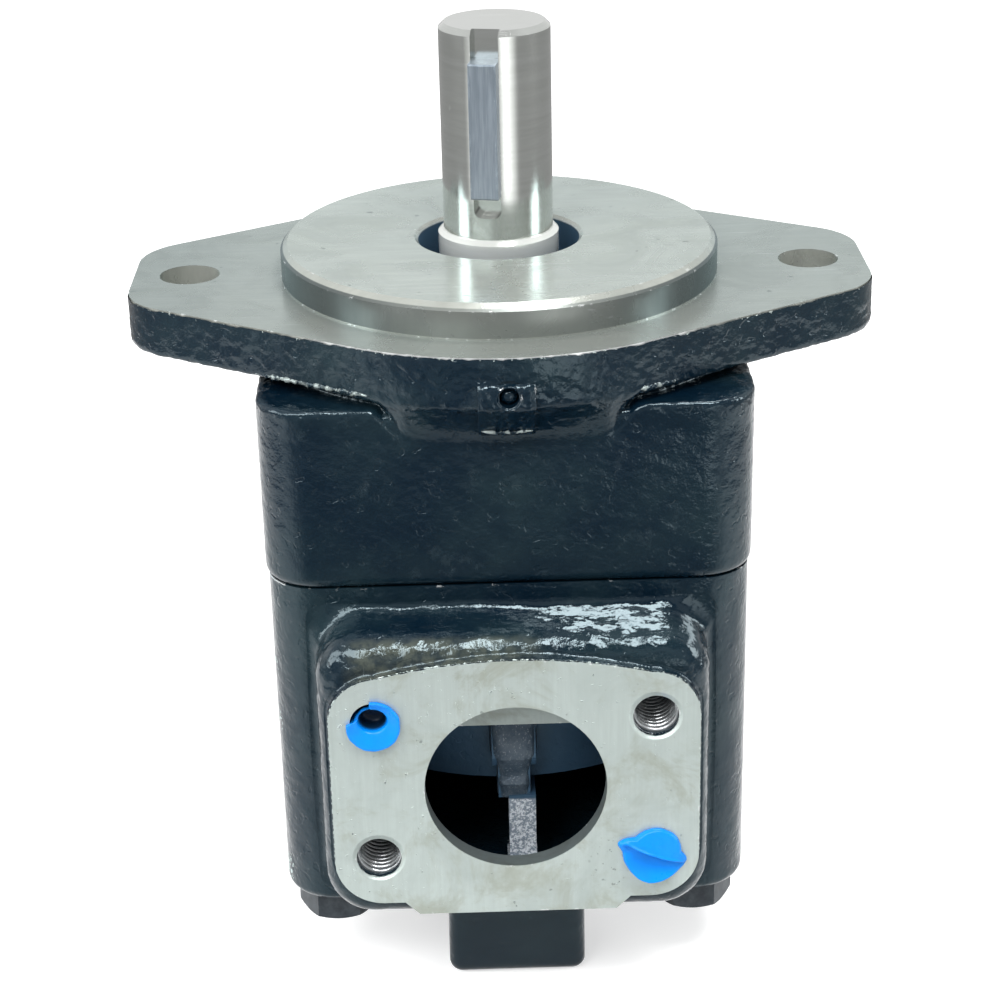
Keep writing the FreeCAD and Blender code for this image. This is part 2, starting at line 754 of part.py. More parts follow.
def rotor():
    """Slotted rotor with a splined bore and a radial pin bore under each vane."""
    low = cam_low_z + side_clearance
    high = cam_top_z - side_clearance
    middle = (low + high) / 2
    body = cylinder(rotor_r, low, high)
    half = vane_thickness / 2 + vane_slot_clearance
    cuts = [cylinder(spline_root_r, low - 1, high + 1)]
    cuts.extend(spline_teeth_bars(low - 1, high + 1))
    for i in range(vane_count):
        slot = block(slot_root_r, rotor_r + 2, -half, half, low - 1, high + 1)
        relief = cylinder(slot_root_relief_r, low - 1, high + 1, slot_root_r, 0)
        pin_low = slot_root_r + slot_root_gap - pin_length - pin_bore_gap
        pin_reach = slot_root_r + slot_root_gap + cam_major_r - rotor_r
        bore = Part.makeCylinder(pin_r, pin_reach - pin_low, V(pin_low, 0, middle), V(1, 0, 0))
        angle = vane_first_deg + 360.0 * i / vane_count
        cuts.extend([turned(slot, angle), turned(relief, angle), turned(bore, angle)])
    return body.cut(Part.makeCompound(cuts))


def spline_teeth_bars(low, high):
    """Straight sided teeth of the shaft spline."""
    width = math.pi * (spline_root_r + spline_tip_r) / 2 / spline_teeth * spline_tooth_share
    bar = block(spline_root_r - spline_tooth_root, spline_tip_r, -width / 2, width / 2, low, high)
    return [turned(bar, 360.0 * i / spline_teeth) for i in range(spline_teeth)]


def vane():
    """Flat vane with a grooved double lip tip, lying along +X at its rest radius."""
    low = cam_low_z + side_clearance + vane_end_clearance
    high = cam_top_z - side_clearance - vane_end_clearance
    half = vane_thickness / 2
    plate = block(rotor_r - vane_height, rotor_r, -half, half, low, high)
    tip_edges = [e for e in edges_at(plate, "X", rotor_r) if e.BoundBox.ZLength > 1]
    plate = plate.makeChamfer(vane_tip_groove, tip_edges)
    channel = block(rotor_r - vane_tip_groove, rotor_r + 1,
                    -vane_tip_groove / 2, vane_tip_groove / 2, low - 1, high + 1)
    return plate.cut(channel)


def vane_pin():
    foot_r = rotor_r - vane_height
    start = V(foot_r - pin_length, 0, (cam_low_z + cam_top_z) / 2)
    return Part.makeCylinder(pin_r - pin_clearance, pin_length, start, V(1, 0, 0))


# Shaft group
def shaft():
    bearing_low_z = bearing_top_z - bearing_width
    seat_low_z = bearing_low_z - 2 * circlip_width
    spline_top_z = cam_top_z + spline_run
    spline_low_z = cam_low_z - spline_run
    shoulder_r = spline_root_r + spline_shoulder
    profile = [(0, shaft_end_z), (shaft_r - shaft_chamfer, shaft_end_z),
               (shaft_r, shaft_end_z - shaft_chamfer), (shaft_r, collar_top_z),
               (collar_r - collar_chamfer, collar_top_z), (collar_r, collar_top_z - collar_chamfer),
               (collar_r, seat_low_z), (shoulder_r, seat_low_z),
               (shoulder_r, spline_top_z), (spline_root_r, spline_top_z), (spline_root_r, spline_low_z),
               (rear_journal_r, spline_low_z), (rear_journal_r, shaft_low_z + rear_journal_chamfer),
               (rear_journal_r - rear_journal_chamfer, shaft_low_z), (0, shaft_low_z)]
    solid = revolved(profile)
    solid = fused([solid] + spline_teeth_bars(spline_low_z + spline_run_out, spline_top_z))
    clip = tube(collar_r + 1, collar_r - circlip_depth / 2, bearing_low_z - circlip_width, bearing_low_z)
    keyway = keyway_cut()
    return solid.cut(clip).cut(keyway)


def keyway_cut():
    """Keyway open at the shaft end, with rounded corners at its lower end."""
    half = key_width / 2
    depth_x = shaft_r - keyway_depth
    slot = block(depth_x, shaft_r + 2, -half, half, keyway_low_z, shaft_end_z + 1)
    corner_edges = [e for e in edges_at(slot, "Z", keyway_low_z) if e.BoundBox.YLength < 0.01]
    return turned(slot.makeFillet(keyway_corner_r, corner_edges), key_direction_deg)


def shaft_key():
    half = key_width / 2
    bar = block(shaft_r - keyway_depth, shaft_r + key_proud, -half, half,
                key_top_z - key_length, key_top_z)
    bar = bar.makeChamfer(key_chamfer, edges_at(bar, "X", shaft_r + key_proud))
    return turned(bar, key_direction_deg)


def bearing_parts():
    low = bearing_top_z - bearing_width
    high = bearing_top_z
    middle = (low + high) / 2
    track = Part.makeTorus(bearing_pitch_r, bearing_ball_r + race_clearance, V(0, 0, middle))
    shoulder = race_shoulder_share * bearing_ball_r
    outer = tube(bearing_outer_r, bearing_pitch_r + shoulder, low, high).cut(track)
    inner = tube(bearing_pitch_r - shoulder, collar_r, low, high).cut(track)
    balls = []
    pockets = []
    for i in range(bearing_ball_count):
        angle = 360.0 * i / bearing_ball_count
        at = polar(bearing_pitch_r, angle, middle)
        balls.append(Part.makeSphere(bearing_ball_r, at))
        inner_end = polar(bearing_pitch_r - 3 * cage_half_thickness, angle, middle)
        pockets.append(Part.makeCylinder(bearing_ball_r + race_clearance, 6 * cage_half_thickness,
                                         inner_end, at - inner_end))
    cage = tube(bearing_pitch_r + cage_half_thickness, bearing_pitch_r - cage_half_thickness,
                middle - cage_half_height, middle + cage_half_height)
    return outer, inner, Part.makeCompound(balls), cage.cut(Part.makeCompound(pockets))


def circlip(outer, inner, low):
    ring = tube(outer, inner, low, low + circlip_width)
    gap = block(0, outer + 1, -circlip_gap_half, circlip_gap_half, low - 1, low + circlip_width + 1)
    return ring.cut(gap)


def bearing_circlip():
    low = bearing_top_z - bearing_width - circlip_width
    return circlip(bearing_outer_r + circlip_depth, bearing_outer_r - circlip_height, low)


def shaft_circlip():
    low = bearing_top_z - bearing_width - circlip_width
    return circlip(collar_r + circlip_height, collar_r - circlip_depth / 2, low)


def shaft_seal_parts():
    """Pressed metal case, rubber lip ring and garter spring."""
    low = seal_top_z - seal_width
    inner_r = seal_outer_r - seal_wall
    lid_r = seal_outer_r - seal_lid
    lid_z = seal_top_z - seal_wall
    case = revolved([(seal_outer_r, low), (seal_outer_r, seal_top_z), (lid_r, seal_top_z), (lid_r, lid_z),
                     (inner_r, lid_z), (inner_r, low)])
    lip_r = collar_r + seal_lip_clearance
    edge_z = seal_top_z - seal_lip_edge_z
    flank_r = lip_r + seal_lip_height
    flank_low_z = edge_z - seal_lip_half_width
    seat_r = lip_r + seal_spring_seat
    hinge_z = seal_top_z - seal_spring_top_z
    hinge_r = lip_r + seal_hinge
    lip = revolved([(inner_r, low), (inner_r, lid_z), (lid_r, lid_z), (flank_r, lid_z),
                    (flank_r, edge_z + seal_lip_half_width), (lip_r, edge_z), (flank_r, flank_low_z),
                    (seat_r, flank_low_z), (seat_r, hinge_z), (hinge_r, hinge_z), (hinge_r, low)])
    spring = Part.makeTorus(seat_r + seal_spring_r, seal_spring_r, V(0, 0, seal_top_z - seal_spring_z))
    return case, lip, spring


def rear_bush():
    high = rear_plate_low_z - bush_top_gap
    return tube(rear_journal_r + bush_wall, rear_journal_r + running_clearance, high - bush_length, high)


def body_seal():
    return groove(body_seal_r, joint_z - seal_depth, joint_z)


# Blue plugs
def ring_plug():
    """Open thread plug: a torn ring head and a hollow stem."""
    front = suction_face_y - plug_face_gap
    head = cylinder_along_y(ring_plug_head_r, front - ring_plug_head, front, 0, 0)
    stem = cylinder_along_y(plug_stem_r, front - 0.1, front + plug_stem_length, 0, 0)
    floor_y = front + plug_stem_length - ring_plug_floor
    hole = cylinder_along_y(plug_stem_r - ring_plug_wall, front - ring_plug_head - 1, floor_y, 0, 0)
    solid = head.fuse(stem).cut(hole)
    solid.translate(V(-suction_bolt_x / 2, 0, suction_z + suction_bolt_z / 2))
    return solid


def flap_plug():
    """Closed thread plug: a round head with a folded grip flap across it."""
    front = suction_face_y - plug_face_gap
    head = cylinder_along_y(flap_plug_head_r, front - flap_plug_head, front, 0, 0)
    stem = cylinder_along_y(plug_stem_r, front - 0.1, front + plug_stem_length, 0, 0)
    reach = flap_plug_head_r - flap_inset
    flap = block(-reach, reach, front - flap_plug_head - flap_height, front - 0.1, -flap_thickness / 2,
                 flap_thickness / 2)
    flap.rotate(V(0, 0, 0), V(0, 1, 0), flap_deg)
    solid = fused([head, stem, flap])
    solid.translate(V(suction_bolt_x / 2, 0, suction_z - suction_bolt_z / 2))
    return solid


def build():
    save("front_housing", front_housing())
    save("end_cap", end_cap())
    save("body_bolts", body_bolts())
    save("gallery_plug", gallery_plug())
    save("body_seal", body_seal())
    save("front_port_plate", front_plate())
    save("cam_ring", cam_ring())
    save("rear_port_plate", rear_plate())
    save("cartridge_dowels", cartridge_dowels())
    save("cartridge_screws", cartridge_screws())
    hub_seal, plate_seal = plate_seals()
    save("hub_seal", hub_seal)
    save("plate_seal", plate_seal)
    save("rotor", rotor())
    for i in range(vane_count):
        angle = vane_first_deg + 360.0 * i / vane_count
        number = "%02d" % (i + 1)
        save("vane_" + number, turned(vane(), angle))
        save("vane_pin_" + number, turned(vane_pin(), angle))
    save("shaft", shaft())
    save("shaft_key", shaft_key())
    outer, inner, balls, cage = bearing_parts()
    save("bearing_outer_race", outer)
    save("bearing_inner_race", inner)
    save("bearing_balls", balls)
    save("bearing_cage", cage)
    save("bearing_circlip", bearing_circlip())
    save("shaft_circlip", shaft_circlip())
    case, lip, spring = shaft_seal_parts()
    save("seal_case", case)
    save("seal_lip", lip)
    save("seal_spring", spring)
    save("rear_bush", rear_bush())
    save("ring_plug", ring_plug())
    save("flap_plug", flap_plug())


build()
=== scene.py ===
import math
import bmesh
import bpy
import numpy as np
from mathutils import Matrix, Vector
from types import SimpleNamespace


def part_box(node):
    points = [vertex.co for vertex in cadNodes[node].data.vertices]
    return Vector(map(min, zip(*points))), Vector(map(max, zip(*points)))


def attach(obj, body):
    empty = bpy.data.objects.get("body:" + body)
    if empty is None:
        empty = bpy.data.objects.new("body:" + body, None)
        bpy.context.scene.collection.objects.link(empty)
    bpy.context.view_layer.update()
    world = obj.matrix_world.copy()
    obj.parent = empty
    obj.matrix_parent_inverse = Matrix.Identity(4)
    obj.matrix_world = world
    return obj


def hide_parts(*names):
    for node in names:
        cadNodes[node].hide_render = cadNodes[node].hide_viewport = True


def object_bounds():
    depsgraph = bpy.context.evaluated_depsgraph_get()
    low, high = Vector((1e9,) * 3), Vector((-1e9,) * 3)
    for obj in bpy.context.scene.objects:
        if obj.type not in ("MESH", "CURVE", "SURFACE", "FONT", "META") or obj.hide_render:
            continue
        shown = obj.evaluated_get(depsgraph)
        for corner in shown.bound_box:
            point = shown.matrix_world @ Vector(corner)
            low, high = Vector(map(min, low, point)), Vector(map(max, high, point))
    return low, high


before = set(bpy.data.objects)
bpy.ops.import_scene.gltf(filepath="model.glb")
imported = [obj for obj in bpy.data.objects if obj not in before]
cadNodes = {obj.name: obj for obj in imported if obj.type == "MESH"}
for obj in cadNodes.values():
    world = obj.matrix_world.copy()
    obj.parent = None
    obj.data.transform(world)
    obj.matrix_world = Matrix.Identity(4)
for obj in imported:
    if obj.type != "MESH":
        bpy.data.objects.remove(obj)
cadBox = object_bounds()
mm = 0.001
print("frame loaded:", len(cadNodes), "CAD nodes")


# camera, room and lamps

view = {
    "place": (-10.617, -662.406, 216.950),  # mm
    "yaw": -0.802, "tilt": 23.761, "roll": -1.294,  # degrees
    "lens": 85.32, "sensor": 36, "near": 0.01,
}
room = {
    "floorZ": -203.05, "floorHalf": 6.0,  # mm, just under the foot, and half its width in m
    "floorGrey": 0.78,
    "skyLevel": 0.46,  # what matt surfaces get from all round
    "floorGlow": 0.52, "farGlow": 0.4, "glowSteps": (0.7, 2.2),  # for the camera only, so that the lit floor is white
    "frontDark": 0.10, "frontGlow": 0.5, "backBright": 0.92,  # what glossy surfaces mirror in the air
    # mirrored floor in front of the pump: near, dark stretch and far, by distance in m
    "nearFloor": 0.80, "darkFloor": 0.20, "farFloor": 0.42, "sideFloor": 1.5,
    "floorSteps": (0.20, 0.30, 0.485, 0.535),
    # the far floor in front holds a bright strip, by x over distance: rise and fall, then a thin one at the left
    "strip": (0.19, 0.26, 0.34, 0.78), "stripLevel": 1.75, "leftStrip": (-0.92, -0.84, -0.80, -0.60), "leftLevel": 0.62,
    "nearBack": 1.4, "farBack": 0.40,
}
lamps = {
    # place mm, aim mm, width and depth mm, power in W
    "keyLamp": ((235, -560, 960), (20, -60, -80), (420, 460), 11.5),
    "fillLamp": ((-560, -760, 760), (0, -40, -60), (800, 560), 13.0),
    "topLamp": ((170, 330, 1050), (0, -40, -60), (620, 260), 6.0),
    "glintLamp": ((-235, -620, 930), (-50, -60, -40), (230, 200), 2.2),
    "leftLamp": ((-1150, -250, 350), (0, 0, -80), (500, 800), 8.0),
    "rightLamp": ((1150, -150, 300), (0, 0, -80), (400, 700), 7.0),
}


def addObject(name, data):
    thing = bpy.data.objects.new(name, data)
    bpy.context.scene.collection.objects.link(thing)
    return thing


def turnedTo(back, place, roll=0.0):
    # a frame at place, in mm, whose Z is back and whose X is level before the roll
    right = Vector((0, 0, 1)).cross(back).normalized()
    up = back.cross(right)
    c, s = math.cos(roll), math.sin(roll)
    turned = Matrix((right * c + up * s, up * c - right * s, back)).transposed().to_4x4()
    turned.translation = Vector(place) * mm
    return turned


def makeCamera():
    # back = (sin yaw cos tilt, -cos yaw cos tilt, sin tilt), then rolled about itself
    yaw, tilt, roll = (math.radians(view[key]) for key in ("yaw", "tilt", "roll"))
    back = Vector((math.sin(yaw) * math.cos(tilt), -math.cos(yaw) * math.cos(tilt), math.sin(tilt)))
    data = bpy.data.cameras.new("photoCamera")
    data.lens, data.sensor_width, data.clip_start = view["lens"], view["sensor"], view["near"]
    camera = addObject("photoCamera", data)
    camera.matrix_world = turnedTo(back, view["place"], roll)
    bpy.context.scene.camera = camera


def makeLamps():
    for name, (place, aim, size, power) in lamps.items():
        data = bpy.data.lights.new(name, "AREA")
        data.shape, data.energy = "RECTANGLE", power
        data.size, data.size_y = size[0] * mm, size[1] * mm
        addObject(name, data).matrix_world = turnedTo((Vector(place) - Vector(aim)).normalized(), place)


# small helpers for shader nodes

class Wire:
    # a value in a node tree; arithmetic with it and a number or another Wire adds the nodes for it
    def __init__(self, tree, socket):
        self.tree, self.socket = tree, socket

    def calc(self, kind, *others):
        return addNode(self.tree, "Math", dict(enumerate((self, *others))), operation=kind)

    def __add__(self, other):
        return self.calc("ADD", other)

    def __sub__(self, other):
        return self.calc("SUBTRACT", other)

    def __rsub__(self, other):
        return self * -1.0 + other

    def __mul__(self, other):
        return self.calc("MULTIPLY", other)

    def __truediv__(self, other):
        return self.calc("DIVIDE", other)

    def __or__(self, other):
        # for masks: the greater one
        return self.calc("MAXIMUM", other)

    def __abs__(self):
        return self.calc("ABSOLUTE")

    def step(self, low, high, first=0.0, last=1.0):
        # smooth step from first to last as the value goes from low to high
        given = {"Value": self, "From Min": low, "From Max": high, "To Min": first, "To Max": last}
        return addNode(self.tree, "MapRange", given, interpolation_type="SMOOTHSTEP")

    def colour(self, first, second):
        # first colour where this share is 0, second where it is 1
        return addNode(self.tree, "Mix", {0: self, 6: first, 7: second}, 2, data_type="RGBA")

    def blend(self, first, second):
        # the same for plain values
        return addNode(self.tree, "Mix", {0: self, 2: first, 3: second})

    def noise(self, scale, detail=3.0, rough=0.55, twist=0.0):
        given = {"Vector": self, "Scale": scale, "Detail": detail, "Roughness": rough, "Distortion": twist}
        return addNode(self.tree, "TexNoise", given)

    def parts(self):
        node = self.tree.nodes.new("ShaderNodeSeparateXYZ")
        put(self, node.inputs[0])
        return [Wire(self.tree, socket) for socket in node.outputs]

    def bump(self, distance):
        return addNode(self.tree, "Bump", {"Height": self, "Distance": distance})


def put(value, socket):
    if isinstance(value, Wire):
        value.tree.links.new(value.socket, socket)
    elif isinstance(value, tuple) and len(value) == 3 and socket.type == "RGBA":
        socket.default_value = (*value, 1)
    else:
        socket.default_value = value


def fill(node, given):
    for key, value in given.items():
        put(value, node.inputs[key])


def addNode(tree, kind, given, out=0, **settings):
    # a node with its settings and inputs; one of its outputs comes back
    node = tree.nodes.new("ShaderNode" + kind)
    for key, value in settings.items():
        setattr(node, key, value)
    fill(node, given)
    return Wire(tree, node.outputs[out])


def objectPoint(tree, scale=None):
    # Object coordinates, stretched where asked
    where = addNode(tree, "TexCoord", {}, "Object")
    return addNode(tree, "Mapping", {"Vector": where, "Scale": scale}) if scale else where


def lightPath(tree, name):
    return addNode(tree, "LightPath", {}, name)


def planeReach(a, b):
    # the root of a² + b²
    return (a * a + b * b).calc("SQRT")


def ringMask(a, b, aMid, bMid, radius, soft):
    # 1 inside a circle of that radius round (aMid, bMid) in the plane of two coordinates
    return planeReach(a - aMid, b - bMid).step(radius + soft, radius - soft)


def newGroup(name, vectors, floats, outputs):
    # a shader node group: names of its vector inputs, float inputs with their values, names of its outputs
    group = bpy.data.node_groups.new(name, "ShaderNodeTree")
    for label in vectors:
        group.interface.new_socket(label, in_out="INPUT", socket_type="NodeSocketVector")
    for label, value in floats.items():
        group.interface.new_socket(label, in_out="INPUT", socket_type="NodeSocketFloat").default_value = value
    for label in outputs:
        group.interface.new_socket(label, in_out="OUTPUT", socket_type="NodeSocketFloat")
    given, result = group.nodes.new("NodeGroupInput"), group.nodes.new("NodeGroupOutput")
    return group, [Wire(group, given.outputs[label]) for label in (*vectors, *floats)], result


def place(tree, group, **given):
    node = tree.nodes.new("ShaderNodeGroup")
    node.node_tree = group
    fill(node, given)
    return [Wire(tree, socket) for socket in node.outputs]


def newMaterial(name):
    material = bpy.data.materials.new(name)
    material.use_nodes = True
    tree = material.node_tree
    return material, tree, tree.nodes["Principled BSDF"]


# groups that more than one finish uses

def makeCastGrain():
    # height = broad lumps + sand grain, less sparse pits where another noise is low
    group, (point, lumps), result = newGroup("castGrain", ["Point"], {"Lumps": 1.0}, ["Height"])
    broad = point.noise(55, 2.0, 0.5) + point.noise(190, 2.5) * 0.35
    fine = point.noise(900, 2.0, 0.6)
    pit = point.noise(330, 1.0, 0.5, 0.4).step(0.36, 0.30)
    fill(result, {"Height": broad * lumps + fine * 0.096 - pit * 0.0875})
    return group


def makeMachinedMarks():
    # cutter marks = noise drawn out along one way; smudges = soft noise; scratches = a few straight thin
    # lines, where a noise drawn out forty to one crosses its middle
    group, (point, drawn, scratches), result = newGroup(
        "machinedMarks", ["Point", "Drawn"], {"Scratches": 0.5}, ["Marks", "Smudge", "Scratch"])
    turned = addNode(group, "Mapping", {"Vector": point, "Rotation": (0.5, 0.75, 0.9), "Scale": (12, 520, 520)})
    thin = turned.noise(1.0, 1.0, 0.4).step(0.735, 0.765)
    sparse = point.noise(45, 1.0).step(0.50, 0.62)
    fill(result, {"Marks": drawn.noise(1.0, 3.0, 0.65), "Smudge": point.noise(42, 4.0, 0.6, 0.8),
                  "Scratch": thin * sparse * scratches})
    return group


def makeEdgeWear():
    # the more the normal of a rounded copy of the surface leaves the true one, the nearer the edge;
    # noise breaks that band into chips
    group, (point, radius, amount), result = newGroup(
        "edgeWear", ["Point"], {"Radius": 0.0012, "Amount": 0.5}, ["Wear"])
    rounded = addNode(group, "Bevel", {"Radius": radius}, samples=4)
    true = addNode(group, "NewGeometry", {}, "Normal")
    edge = addNode(group, "VectorMath", {0: rounded, 1: true}, "Value", operation="DOT_PRODUCT").step(0.995, 0.90)
    limit = 0.80 - amount * 0.5
    fill(result, {"Wear": (edge * (point.noise(320, 3.0, 0.6) + 0.12)).step(limit, limit + 0.06)})
    return group


castGrain = makeCastGrain()
machinedMarks = makeMachinedMarks()
edgeWear = makeEdgeWear()


# painted castings with machined faces

castingFinish = {
    "paintDark": (0.0012, 0.0060, 0.0125),
    "paintLight": (0.0070, 0.0165, 0.0215),
    "dust": (0.085, 0.115, 0.125),
    "bright": (0.78, 0.80, 0.80),
    "stain": (0.34, 0.36, 0.30),
    # painted reflection: the olive tone laid over the paint on the lower left of the port neck
    "tan": (0.100, 0.108, 0.080),
    "boreIron": (0.036, 0.080, 0.135), "boreRoughness": 0.5,
    "sand": ((0.20, 0.24, 0.29), (0.66, 0.70, 0.74)),  # bare cast grains, dark and light
    "paintRoughness": (0.09, 0.18),
    "paintMirror": (0.76, 0.94, 1.0),  # tint of what the paint mirrors
    "lumpHeight": 0.0011,  # m
    "shade": (0.02, 0.03, 0.035), "shadeShare": 0.58,  # painted shade, for the turned side of the pilot against its face and inside the port's mouth
    "metal": 0.62, "wearRadius": 0.0011,
}
cutPlaces = {
    # radii and places of the machined faces, m
    "pilotFace": 0.0628, "recess": 0.0595, "bolt": (0.0905, 0.0089), "portZ": -0.1216, "mouth": 0.0259,
    "passage": 0.0305,
}
# painted light: one cut iron in two tones, the housing's darker against the top lamp on its upward faces, the cap's
# lighter for its front-facing port face
housingIronShaded = {"iron": (0.390, 0.405, 0.370), "dark": (0.280, 0.294, 0.272), "roughness": (0.20, 0.34)}
capIronLit = {"iron": (0.52, 0.59, 0.565), "dark": (0.415, 0.470, 0.450), "roughness": (0.34, 0.52)}


def castingMaterial(name, metalLook, machined, wear=0.0, marks=(60, 60, 60), lumps=1.0, stain=0.0,
                    bore=None, grain=None, shade=None, rim=None, tan=None, pits=None, sand=None, chamfer=None,
                    chips=None, lean=None):
    # one shader: paint over cast iron, bare cut iron where machined is 1, raw dark casting where bore is 1.
    # Masks are functions of the place: grain = share of the lumps where it varies, shade = painted shade that darkens
    # cut iron, rim = rubbed bright, tan = painted reflection, an olive tint over the paint, pits = more pits, sand =
    # bare cast grains, chamfer = height of cut edges, chips = more wear, lean = normal leaned forward
    look = castingFinish
    material, tree, shader = newMaterial(name)
    point = objectPoint(tree)
    x, y, z = point.parts()
    # what a mask gets: the place whole and in parts, in m, and jag = fine noise about 0 that frays its edge
    at = SimpleNamespace(point=point, x=x, y=y, z=z, jag=point.noise(700, 3.0, 0.65) - 0.5)
    cut = machined(at)
    castHeight = place(tree, castGrain, Point=point, Lumps=grain(at) if grain else lumps)[0]
    drawn, smudge, scratch = place(tree, machinedMarks, Point=point, Drawn=objectPoint(tree, marks), Scratches=0.8)
    amount = chips(at) + wear if chips else wear
    worn = place(tree, edgeWear, Point=point, Radius=look["wearRadius"], Amount=amount)[0]
    patches = point.noise(26, 4.0, 0.6)
    paint = patches.step(0.35, 0.75).colour(look["paintDark"], look["paintLight"])
    # painted reflection: an olive tint over the paint where its mask is 1
    if tan:
        paint = tan(at).colour(paint, look["tan"])
    paint = (point.noise(85, 5.0, 0.7).step(0.56, 0.80) * 0.16).colour(paint, look["dust"])
    iron = drawn.step(0.25, 0.80, 0.55, 1.0).colour(metalLook["dark"], metalLook["iron"])
    iron = smudge.step(0.40, 0.75, 0.0, 0.85).colour(iron, metalLook["dark"])
    iron = (scratch * 0.4).colour(iron, look["bright"])
    pitted = point.noise(260, 2.0, 0.5).step(0.715, 0.76)
    if pits:
        pitted = pitted | pits(at)
    iron = (pitted * 0.6).colour(iron, tuple(0.35 * level for level in metalLook["dark"]))
    if stain:
        iron = point.noise(48, 5.0, 0.72, 0.6).step(0.46, 0.68, 0.0, stain).colour(iron, look["stain"])
    # painted shade: where a shade mask is 1, cut iron is darkened towards the shade colour
    if shade:
        iron = (shade(at) * look["shadeShare"]).colour(iron, look["shade"])
    if rim:
        iron = rim(at).colour(iron, look["bright"])
    colour = worn.colour(cut.colour(paint, iron), look["bright"])
    rough = cut.blend(patches.step(0.3, 0.8, *look["paintRoughness"]), smudge.step(0.3, 0.8, *metalLook["roughness"]))
    metal = (cut | worn) * look["metal"]
    if bore:
        inside = bore(at)
        colour = inside.colour(colour, look["boreIron"])
        rough = inside.blend(rough, look["boreRoughness"])
        metal = metal * (1.0 - inside)
    if sand:
        speckle = point.noise(1300, 2.0, 0.7).step(0.42, 0.60)
        colour = sand(at).colour(colour, speckle.colour(*look["sand"]))
    height = cut.blend(castHeight, drawn * 0.02)
    if chamfer:
        height = height + chamfer(at)
    normal = height.bump(look["lumpHeight"])
    if lean:
        normal = leaned(normal, lean(at))
    fill(shader, {"Base Color": colour, "Roughness": rough, "Metallic": metal, "Normal": normal,
                  "Specular Tint": look["paintMirror"]})
    return material


def leaned(normal, share):
    # normal + share * forward, made unit length again: cast slopes too small to model
    forward = addNode(normal.tree, "VectorMath", {0: (0.10, -1, 0), "Scale": share}, operation="SCALE")
    total = addNode(normal.tree, "VectorMath", {0: normal, 1: forward}, operation="ADD")
    return addNode(normal.tree, "VectorMath", {0: total}, operation="NORMALIZE")


def housingMachined(at):
    # the flange face and the pilot above it, the four-bolt face at the back, and the bolt holes
    rear = (at.y + at.jag * 0.001).step(0.0756, 0.0758)
    boltX, radius = cutPlaces["bolt"]
    return at.z.step(-0.0032, -0.0030) | rear | ringMask(abs(at.x), at.y, boltX, 0.0, radius, 0.0001)


def housingBore(at):
    # the recess round the shaft
    return ringMask(at.x, at.y, 0.0, 0.0, cutPlaces["recess"], 0.0002) * at.z.step(0.0095, 0.0085)


def pilotPaintedShade(at):
    # painted shade: the turned side of the pilot, outside its face and above the flange, darker towards its left and
    # right; less so the flange's own face, more at its left ear
    outside = 1.0 - ringMask(at.x, at.y, 0.0, 0.0, cutPlaces["pilotFace"], 0.0001)
    side = outside * at.z.step(0.0003, 0.0005) * at.z.step(0.0092, 0.0088)
    face = at.z.step(0.0004, 0.0002) * at.z.step(-0.00015, -0.00005) * at.x.step(-0.070, -0.095, 0.44, 0.66)
    return side * abs(at.x).step(0.015, 0.050, 0.86, 1.38) | face


def flangeRim(at):
    # the flange's upper rim, rubbed bright at the front
    return at.z.step(-0.0032, -0.0030) * at.z.step(-0.00005, -0.00015) * at.y.step(-0.052, -0.066)


def portRing(at, name, soft):
    # inside the suction port's mouth or passage
    return ringMask(at.x, at.z, 0.0, cutPlaces["portZ"], cutPlaces[name], soft)


def capMachined(at):
    # the port face, cut flat, the bored mouth of the suction passage, and rubbed patches down the left side
    face = (at.y + at.jag * 0.0016).step(-0.09165, -0.09195)
    mouth = portRing(at, "mouth", 0.0001) * at.y.step(-0.0863, -0.0865)
    rubbed = at.x.step(-0.0640, -0.0672) * at.z.step(-0.080, -0.100) * at.y.step(-0.030, -0.048)
    rubbed = rubbed * at.point.noise(95, 2.0, 0.5).step(0.44, 0.60)
    patch = (at.jag * 1.3 + rubbed * 0.42).step(0.40, 0.47)
    return face | mouth | patch * rubbed


def mouthPaintedShade(at):
    # painted shade: the cut iron is darker inside the mouth, more so down its lower side
    mouth = portRing(at, "mouth", 0.0001) * 0.95
    return mouth * at.z.step(-0.132, -0.112, 1.30, 0.62) * at.y.step(-0.0921, -0.0918)


def capBore(at):
    # the cast passage behind the mouth
    return portRing(at, "passage", 0.0002) * at.y.step(-0.0865, -0.0863) * at.y.step(0.0520, 0.0515)


def capSand(at):
    # the post in the chamber, seen through the mouth
    across = abs(at.x - 0.0022).step(0.0046, 0.0043)
    down = at.z.step(-0.1384, -0.1392) * at.z.step(-0.1640, -0.1632)
    return across * down * at.y.step(-0.0852, -0.0848) * at.y.step(-0.0545, -0.0555)


def capChamfer(at):
    # height rises from each tapped hole's edge outwards, as a chamfer would
    near, other = (planeReach(at.x - holeX * mm, at.z - holeZ * mm).step(0.0060, 0.0077, -0.9, 0.0)
                   for holeX, holeZ in threads["suction_threads"][0])
    return (near + other) * at.y.step(-0.0918, -0.0920)


def capPits(at):
    # a loose group of small pits on the pad beside the flap plug
    spots = at.point.noise(620, 2.0, 0.5).step(0.66, 0.70)
    across = at.x.step(0.0185, 0.0225) * at.x.step(0.0320, 0.0285)
    return spots * across * at.z.step(-0.1370, -0.1400) * at.z.step(-0.1560, -0.1540)


def humpPaintedReflection(at):
    # painted reflection: an olive band over the left half of the pad's upper edge, for the tone the lower neck mirrors
    over = at.y.step(-0.0835, -0.0868) * at.z.step(-0.0940, -0.0870)
    across = at.x.step(0.014, -0.004) * at.x.step(-0.048, -0.041)
    return over * across * at.point.noise(260, 3.0, 0.6).step(0.36, 0.62, 0.12, 0.42)


def topChips(at):
    # no chips below the flange's face
    return at.z.step(-0.0042, -0.0030, -0.9, 0.0)


def capChips(at):
    # more chipping down the left column
    return at.x.step(-0.060, -0.066, 0.0, 0.60)


